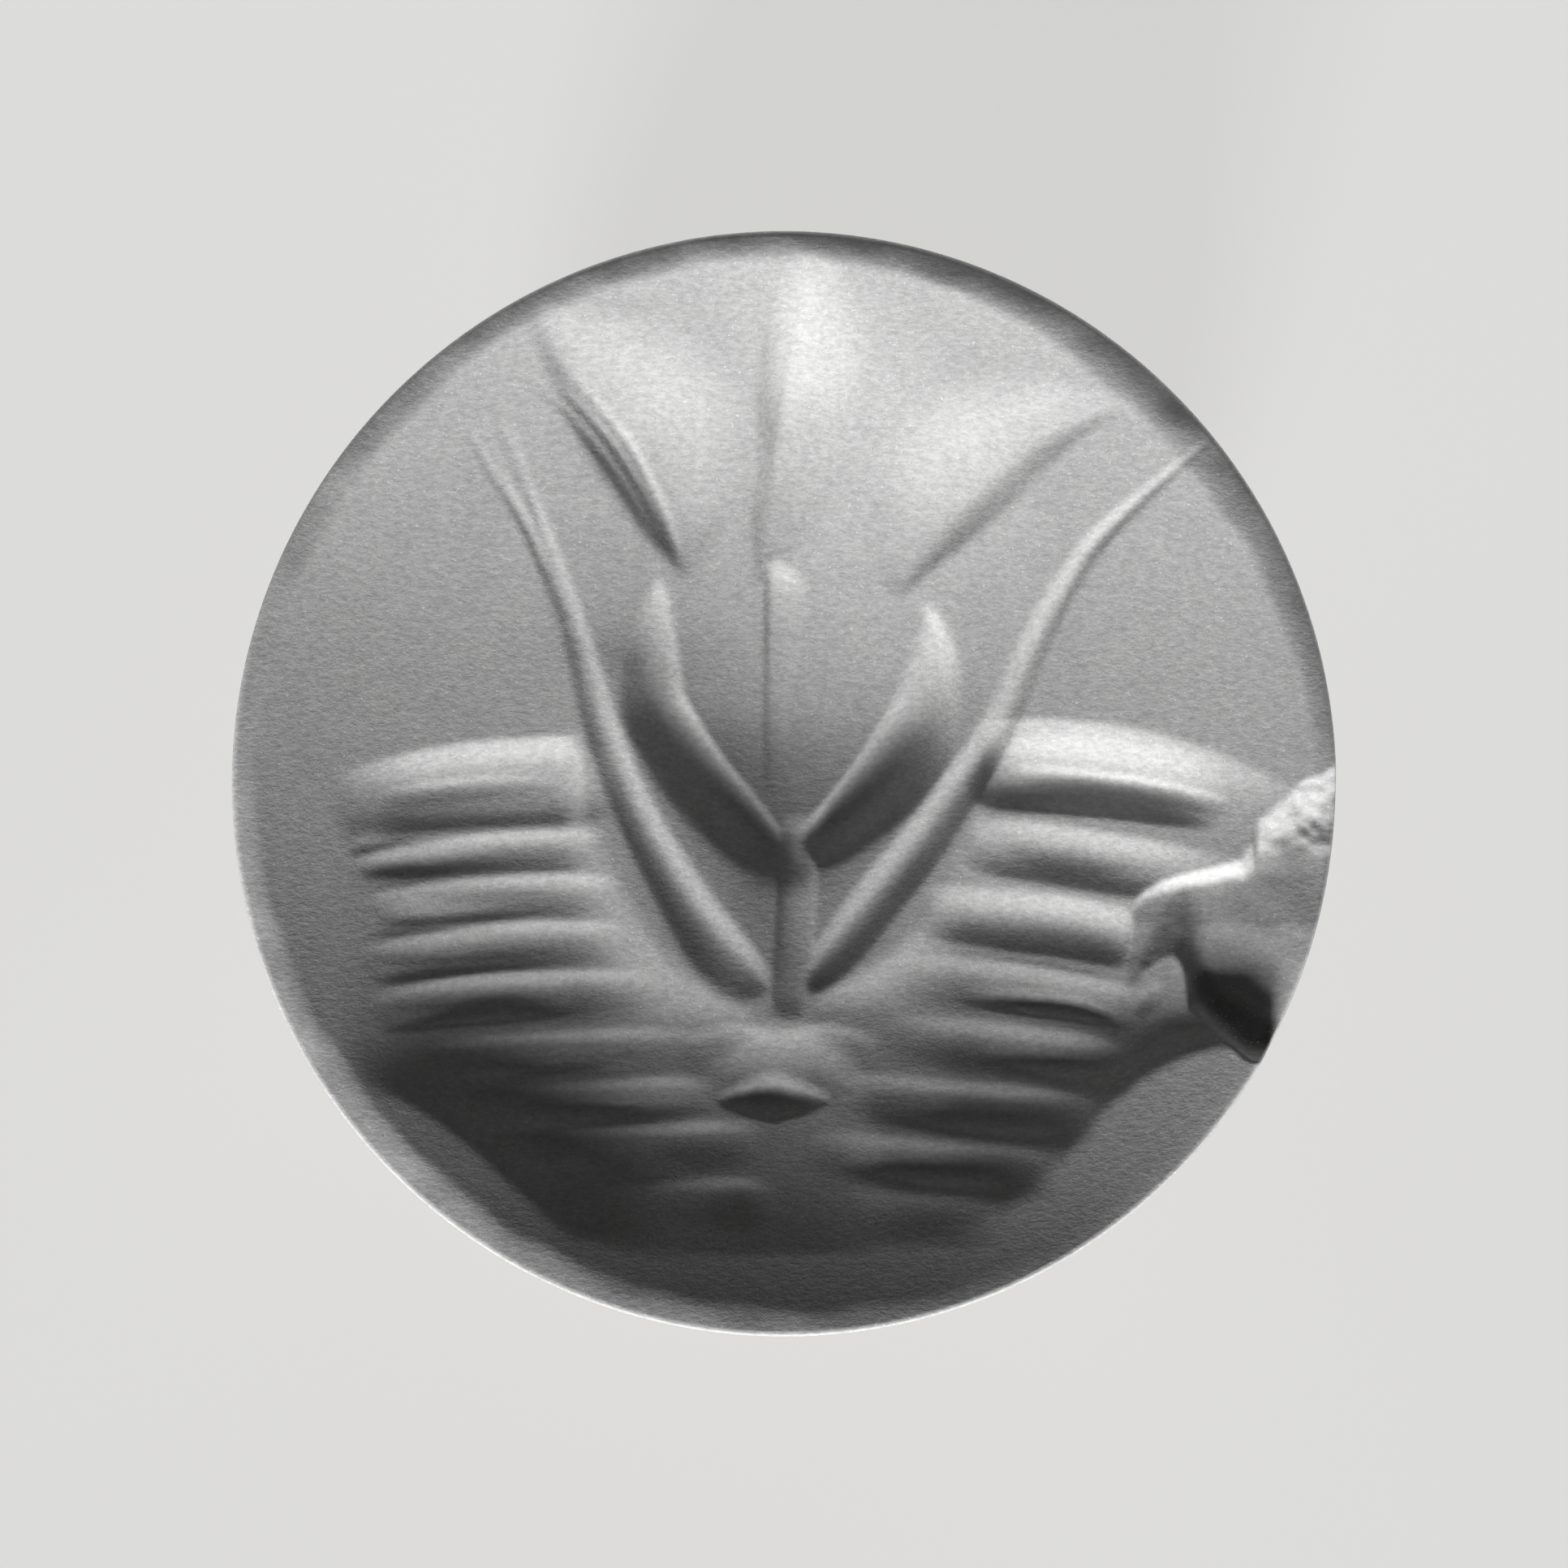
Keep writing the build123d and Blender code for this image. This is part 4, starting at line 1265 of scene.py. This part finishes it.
# %% Ferrule
collar_height = 1.2
collar_width = 0.9
sleeve_radius = 7.1
sleeve_waist = 0.35
ferrule_rim = 1.6
ferrule_edge = 0.3
recess_radius = 5.2
passage_radius = 3.3
skirt_radius = 6.0
skirt_depth = 5.0
ferrule_foot = bottom("ferrule")
ferrule_top = top("ferrule")
recess_floor = bottom("nut_washer")
sleeve_foot = ferrule_foot + collar_height + collar_width
rim_foot = ferrule_top - ferrule_rim
sleeve_middle = (sleeve_foot + rim_foot) / 2
sleeve_crest = (sleeve_radius - sleeve_waist, sleeve_middle)

lower_sleeve = swell(sleeve_crest, (sleeve_radius, sleeve_foot), count=6)[::-1]
upper_sleeve = swell(sleeve_crest, (sleeve_radius, rim_foot), count=6)
ferrule_outline = soften(
    [
        (skirt_radius, ferrule_foot, 0),
        (reach("ferrule"), ferrule_foot, edge_break),
        (reach("ferrule"), ferrule_foot + collar_height, edge_break),
        *[(r, z, 0) for r, z in lower_sleeve],
        (*sleeve_crest, 0),
        *[(r, z, 0) for r, z in upper_sleeve],
        (sleeve_radius, ferrule_top - ferrule_edge, edge_break),
        (sleeve_radius - ferrule_edge, ferrule_top, edge_break),
        (recess_radius, ferrule_top, edge_break),
        (recess_radius, recess_floor, 0),
        (passage_radius, recess_floor, 0),
        (passage_radius, ferrule_foot + skirt_depth, 0),
        (skirt_radius, ferrule_foot + skirt_depth, 0),
    ]
)
ferrule = turned("brass_ferrule", ferrule_outline, "grip", "ferrule")

# %% [markdown]
# The end cap is the foot that the stamp stands on and the button that the palm presses. Its
# belly is one arc, with a groove and a collar above it.

# %% End cap
cap_foot_radius = 8.2
cap_collar_height = 1.4
cap_groove_height = 0.7
cap_groove_depth = 0.6
cap_floor = 1.8
spigot_pocket_radius = 7.1
spigot_floor = 7.6
cap_radius = reach("end_cap")
cap_top = top("end_cap")
collar_radius = 8.5
groove_top = cap_top - cap_collar_height
belly_top = groove_top - cap_groove_height
belly_crest = (cap_radius, belly_top / 2)


def bow(first, middle, last, count):
    """Arc through three points of radius and level, without its first and last point."""
    (x1, y1), (x2, y2), (x3, y3) = first, middle, last
    matrix = 2 * np.array([[x2 - x1, y2 - y1], [x3 - x1, y3 - y1]])
    squares = [x**2 + y**2 - x1**2 - y1**2 for x, y in (middle, last)]
    centre = np.linalg.solve(matrix, squares)
    radius = math.dist(first, centre)
    begin = math.atan2(y1 - centre[1], x1 - centre[0])
    end = math.atan2(y3 - centre[1], x3 - centre[0])
    sweep = np.linspace(begin, end, count + 2)[1:-1]
    return [(centre[0] + radius * math.cos(a), centre[1] + radius * math.sin(a)) for a in sweep]


cap_foot = (cap_foot_radius, 0.0)
cap_neck = (collar_radius, belly_top)
cap_outline = soften(
    [
        (0, 0, 0),
        (*cap_foot, edge_break),
        *[(r, z, 0) for r, z in bow(cap_foot, belly_crest, cap_neck, count=20)],
        (*cap_neck, edge_break),
        (collar_radius - cap_groove_depth, belly_top, edge_break),
        (collar_radius - cap_groove_depth, groove_top, edge_break),
        (collar_radius, groove_top, edge_break),
        (collar_radius, cap_top, edge_break),
        (spigot_pocket_radius, cap_top, 0),
        (spigot_pocket_radius, spigot_floor, 0),
        (bore_radius, spigot_floor, 0),
        (bore_radius, cap_floor, 0),
        (0, cap_floor, 0),
    ]
)
end_cap = turned("brass_end_cap", cap_outline, "grip", "end_cap")

# %% [markdown]
# Brass is bright where hands rub it and brown where they don't reach. The number for wear that
# each turned piece carries says which is which, clouds of noise break it up, and fine rings
# from the turning tool catch the light.

# %% Finish of the brass
bright_brass = (0.74, 0.55, 0.27, 1)
dull_brass = (0.5, 0.35, 0.16, 1)
brown_tarnish = (0.17, 0.11, 0.055, 1)
brass_paint, tree, shader = start_finish("aged_brass")

worn = mark(tree, "worn")
cloud = speckle(tree, size=5.0, detail=5.0, roughness=0.6)
spots = speckle(tree, size=0.5, detail=3.0)
tool_rings = speckle(tree, size=0.12, detail=2.0, stretch=(0.02, 0.02, 1))
colour = tint(tree, bright_brass, dull_brass, cloud, (0.38, 0.68), most=0.85, least=0.1)
colour = tint(tree, colour, brown_tarnish, worn, (0.05, 0.45), most=0.85)
colour = tint(tree, colour, bright_brass, worn, (-0.05, -0.6), most=0.8)
colour = tint(tree, colour, brown_tarnish, spots, (0.64, 0.74), most=0.5)
cloud_rough = between(tree, cloud, (0.35, 0.7), (0.24, 0.4))
tarnish_rough = between(tree, worn, (0.0, 0.5), (0.0, 0.2))
dress(tree, shader, {
    "Base Color": colour,
    "Metallic": 1.0,
    "Roughness": reckon(tree, "ADD", cloud_rough, tarnish_rough),
    "Normal": relief(tree, spots, depth=0.006, under=relief(tree, tool_rings, depth=0.008)),
})
for piece in (holder, ferrule, end_cap):
    piece.data.materials.append(brass_paint)
print("brass finished")

# %% [markdown]
# The handle is turned from one billet of dark, close-grained wood: a bulb for the palm, a
# waist for the fingers, and two rings that were burnt into the bulb with a wire. Its four arcs
# meet without a kink, because each one runs along the axis at the bulb or at the waist.

# %% Handle
handle_foot_radius = 8.5
bulb_height = 14.0
waist_radius = 6.2
waist_height = 34.0
tenon_of_handle = 5.9
spigot_radius = 7.0
ring_spacing = 3.0
ring_depth = 0.35
shoulder_break = 0.15
wood_foot = cap_top
wood_top = ferrule_foot
bulb_crest = (reach("handle"), wood_foot + bulb_height)
waist_crest = (waist_radius, wood_foot + waist_height)
turn_point = ((bulb_crest[0] + waist_crest[0]) / 2, (bulb_crest[1] + waist_crest[1]) / 2)
shoulder = (reach("ferrule"), wood_top)
ring_levels = (bulb_crest[1] - ring_spacing / 2, bulb_crest[1] + ring_spacing / 2)

foot_to_bulb = swell(bulb_crest, (handle_foot_radius, wood_foot), count=48)[::-1]
bulb_to_turn = swell(bulb_crest, turn_point, count=34)
turn_to_waist = swell(waist_crest, turn_point, count=24)[::-1]
waist_to_shoulder = swell(waist_crest, shoulder, count=20)
bulb = np.vstack([foot_to_bulb, [bulb_crest], bulb_to_turn[:-1]])
waist = np.vstack([turn_to_waist, [waist_crest], waist_to_shoulder[:-1]])
wood_curve = np.vstack([bulb, waist])
half_steps = np.array([0.04, 0.12, 0.25, 0.35, 0.4, 0.5])
ring_steps = np.concatenate([-half_steps[::-1], half_steps])
wood_levels = wood_curve[:, 1]
from_ring = np.min([np.abs(wood_levels - level) for level in ring_levels], axis=0)
plain_levels = wood_levels[from_ring >= half_steps.max()]
levels = np.sort(np.concatenate([plain_levels, *[level + ring_steps for level in ring_levels]]))
radii = np.interp(levels, wood_levels, wood_curve[:, 0])
for level in ring_levels:
    radii -= np.clip(ring_depth - np.abs(levels - level), 0, None)
handle_outline = [
    (passage_radius, bottom("handle")),
    (spigot_radius, bottom("handle")),
    (spigot_radius, wood_foot),
    *zip(radii, levels),
    (shoulder[0] - 0.4 * shoulder_break, wood_top - 0.2 * shoulder_break),
    (shoulder[0] - shoulder_break, wood_top),
    (tenon_of_handle, wood_top),
    (tenon_of_handle, top("handle")),
    (passage_radius, top("handle")),
]
handle = turned("wood_handle", handle_outline, "grip", "handle")

# %% [markdown]
# In a turned billet the growth layers lie on one side of the axis, so they show as long
# ovals on the bulb and as straight stripes on the waist. Bands that are bent by noise give
# that. Pores are short dark dashes along the grain. The rings are charred, and a thin satin
# polish lies over everything.

# %% Finish of the wood
red_wood = (0.23, 0.09, 0.04, 1)
brown_wood = (0.12, 0.045, 0.022, 1)
char = (0.022, 0.014, 0.01, 1)
pore = (0.06, 0.025, 0.014, 1)
layer_width = 1.2
wave_turns = 0.314
layer_bend = {"Distortion": 1.3, "Detail": 3.0, "Detail Scale": 0.35}
billet_tilt = (math.radians(4), math.radians(7), 0)
billet = {"Location": (0.031, 0.012, 0), "Rotation": billet_tilt, "Scale": (1000, 1000, 22)}
wood_paint, tree, shader = start_finish("polished_wood")

place = add(tree, "ShaderNodeTexCoord").outputs["Object"]
in_billet = add(tree, "ShaderNodeMapping", {"Vector": place, **billet}).outputs["Vector"]
wave = {"Vector": in_billet, "Scale": wave_turns / layer_width, **layer_bend}
layers = add(tree, "ShaderNodeTexWave", wave, wave_type="RINGS", rings_direction="Z").outputs["Fac"]
streaks = speckle(tree, size=0.8, detail=5.0, stretch=(1, 1, 0.04), roughness=0.65)
dashes = speckle(tree, size=0.22, detail=1.0, stretch=(1, 1, 0.07))
layer_share = reckon(tree, "MULTIPLY", layers, between(tree, streaks, (0.3, 0.7), (0.35, 1.2)))
pores = between(tree, dashes, (0.63, 0.72))
colour = blend_colour(tree, layer_share, red_wood, brown_wood)
colour = blend_colour(tree, reckon(tree, "MULTIPLY", pores, 0.75), colour, pore)
dress(tree, shader, {
    "Base Color": tint(tree, colour, char, mark(tree, "worn"), (0.12, 0.4)),
    "Roughness": between(tree, streaks, (0.3, 0.7), (0.36, 0.5)),
    "Coat Weight": 0.3,
    "Coat Roughness": 0.28,
    "Normal": relief(tree, pores, depth=-0.02, under=relief(tree, streaks, depth=0.012)),
})
handle.data.materials.append(wood_paint)
print("wood finished")

# %% [markdown]
# A leather washer lies between the head and the ferrule, so that the head tightens softly and
# doesn't mar the brass. It was punched from a sheet, so its outline is a plain oblong with its
# corners rounded by use.

# %% Leather washer
washer_round = 0.15
washer_foot = bottom("leather_washer")
washer_top = top("leather_washer")
washer_radius = reach("leather_washer")
washer_outline = soften(
    [
        (passage_radius, washer_foot, washer_round),
        (washer_radius, washer_foot, washer_round),
        (washer_radius, washer_top, washer_round),
        (passage_radius, washer_top, washer_round),
    ]
)
washer = turned("leather_ring", washer_outline, "washer", "leather_washer")

# %% [markdown]
# Leather is brown and grained on its flat sides. On the cut edge the fibres show, paler and
# stretched along the axis, and the direction that a surface faces tells the two apart.

# %% Finish of the leather
tan_leather = (0.24, 0.12, 0.055, 1)
dark_leather = (0.11, 0.05, 0.026, 1)
cut_leather = (0.33, 0.2, 0.11, 1)
leather_paint, tree, shader = start_finish("brown_leather")
grain = speckle(tree, size=0.35, detail=4.0, roughness=0.6)
fibre = speckle(tree, size=0.16, detail=3.0, stretch=(1, 1, 2.5))
colour = tint(tree, dark_leather, tan_leather, grain, (0.35, 0.65))
flat_side = reckon(tree, "ABSOLUTE", facing_up(tree))
dress(tree, shader, {
    "Base Color": tint(tree, colour, cut_leather, flat_side, (0.55, 0.2), most=0.75),
    "Roughness": between(tree, grain, (0.3, 0.7), (0.62, 0.8)),
    "Normal": relief(tree, fibre, depth=0.02, under=relief(tree, grain, depth=0.03)),
})
washer.data.materials.append(leather_paint)
print("leather finished")

# %% [markdown]
# The tie rod is a steel stud that runs through the handle. The head screws onto its upper end,
# so that end shows when the head comes off, and it has a real thread of 1 mm pitch. A thread is
# a ramp round the axis, so the groove of the lathe does it: the cut moves with the turn.

# %% Tie rod
rod_radius = 3.0
thread_pitch = 1.0
thread_depth = 0.5
tip_chamfer = 0.6
thread_steps = 64
ridge_steepness = 1.25
ridge_set_back = 0.12
hidden_step = 0.2
shown_step = 0.1
rod_foot = bottom("tie_rod")
rod_top = top("tie_rod")
tip_foot = rod_top - tip_chamfer
hidden_foot = rod_foot + tip_chamfer + hidden_step
thread_lengths = ((rod_foot, spigot_floor), (recess_floor, rod_top))


def thread(turns, radius, level):
    """How far a right-handed thread is cut in at each turn, at a level that is threaded."""
    if not any(low <= level <= high for low, high in thread_lengths):
        return 0.0
    phase = (level / thread_pitch - turns / (2 * np.pi)) % 1
    ridge = np.clip(np.abs(2 * phase - 1) * ridge_steepness - ridge_set_back, 0, 1)
    return np.clip(thread_depth * (1 - ridge) - (rod_radius - radius), 0, None)


rod_outline = [
    (0, rod_foot),
    (rod_radius - tip_chamfer, rod_foot),
    (rod_radius, rod_foot + tip_chamfer),
    *[(rod_radius, z) for z in np.arange(hidden_foot, spigot_floor, hidden_step)],
    *[(rod_radius, z) for z in np.arange(recess_floor, tip_foot, shown_step)],
    *[(rod_radius + tip_foot - z, z) for z in np.arange(tip_foot, rod_top, shown_step)],
    (0, rod_top),
]
rod = turned("steel_rod", rod_outline, "grip", "tie_rod", full_turn(thread_steps), thread)

# %% [markdown]
# The steel is plain and oiled. It is darker in the grooves of the thread and in clouds, with a
# speck of rust here and there, and the turning tool left fine rings.

# %% Finish of the steel
grey_steel = (0.55, 0.55, 0.56, 1)
dark_steel = (0.2, 0.185, 0.17, 1)
rust = (0.2, 0.09, 0.045, 1)
steel_paint, tree, shader = start_finish("oiled_steel")
cloud = speckle(tree, size=2.2, detail=5.0, roughness=0.6)
specks = speckle(tree, size=0.35, detail=2.0)
tool_rings = speckle(tree, size=0.1, detail=2.0, stretch=(0.03, 0.03, 1))
colour = tint(tree, grey_steel, dark_steel, cloud, (0.35, 0.7))
colour = tint(tree, colour, dark_steel, mark(tree, "worn"), (0.1, 0.6), most=0.8)
dress(tree, shader, {
    "Base Color": tint(tree, colour, rust, specks, (0.68, 0.76), most=0.6),
    "Metallic": 1.0,
    "Roughness": between(tree, cloud, (0.3, 0.7), (0.28, 0.46)),
    "Normal": relief(tree, tool_rings, depth=0.006),
})
rod.data.materials.append(steel_paint)
print("steel finished")

# %% [markdown]
# The slotted nut, its washer and the bed of cement that holds the stone have the shapes of
# their solids already. So those solids stay, and only take a finish: steel for the nut and the
# washer, and a sandy one for the cement.

# %% Finish of the cement and of the kept solids
pale_cement = (0.5, 0.45, 0.37, 1)
dark_cement = (0.33, 0.285, 0.23, 1)
cement_paint, tree, shader = start_finish("sandy_cement")
sand = speckle(tree, size=0.2, detail=3.0, roughness=0.7)
dress(tree, shader, {
    "Base Color": tint(tree, dark_cement, pale_cement, sand, (0.35, 0.65)),
    "Roughness": between(tree, sand, (0.3, 0.7), (0.8, 0.95)),
    "Normal": relief(tree, sand, depth=0.03),
})

kept_solids = {
    "setting_cement": cement_paint,
    "ferrule_nut": steel_paint,
    "nut_washer": steel_paint,
}
for node, paint in kept_solids.items():
    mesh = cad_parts[node].data
    mesh.materials.clear()
    mesh.materials.append(paint)
print("kept solids:", ", ".join(kept_solids))
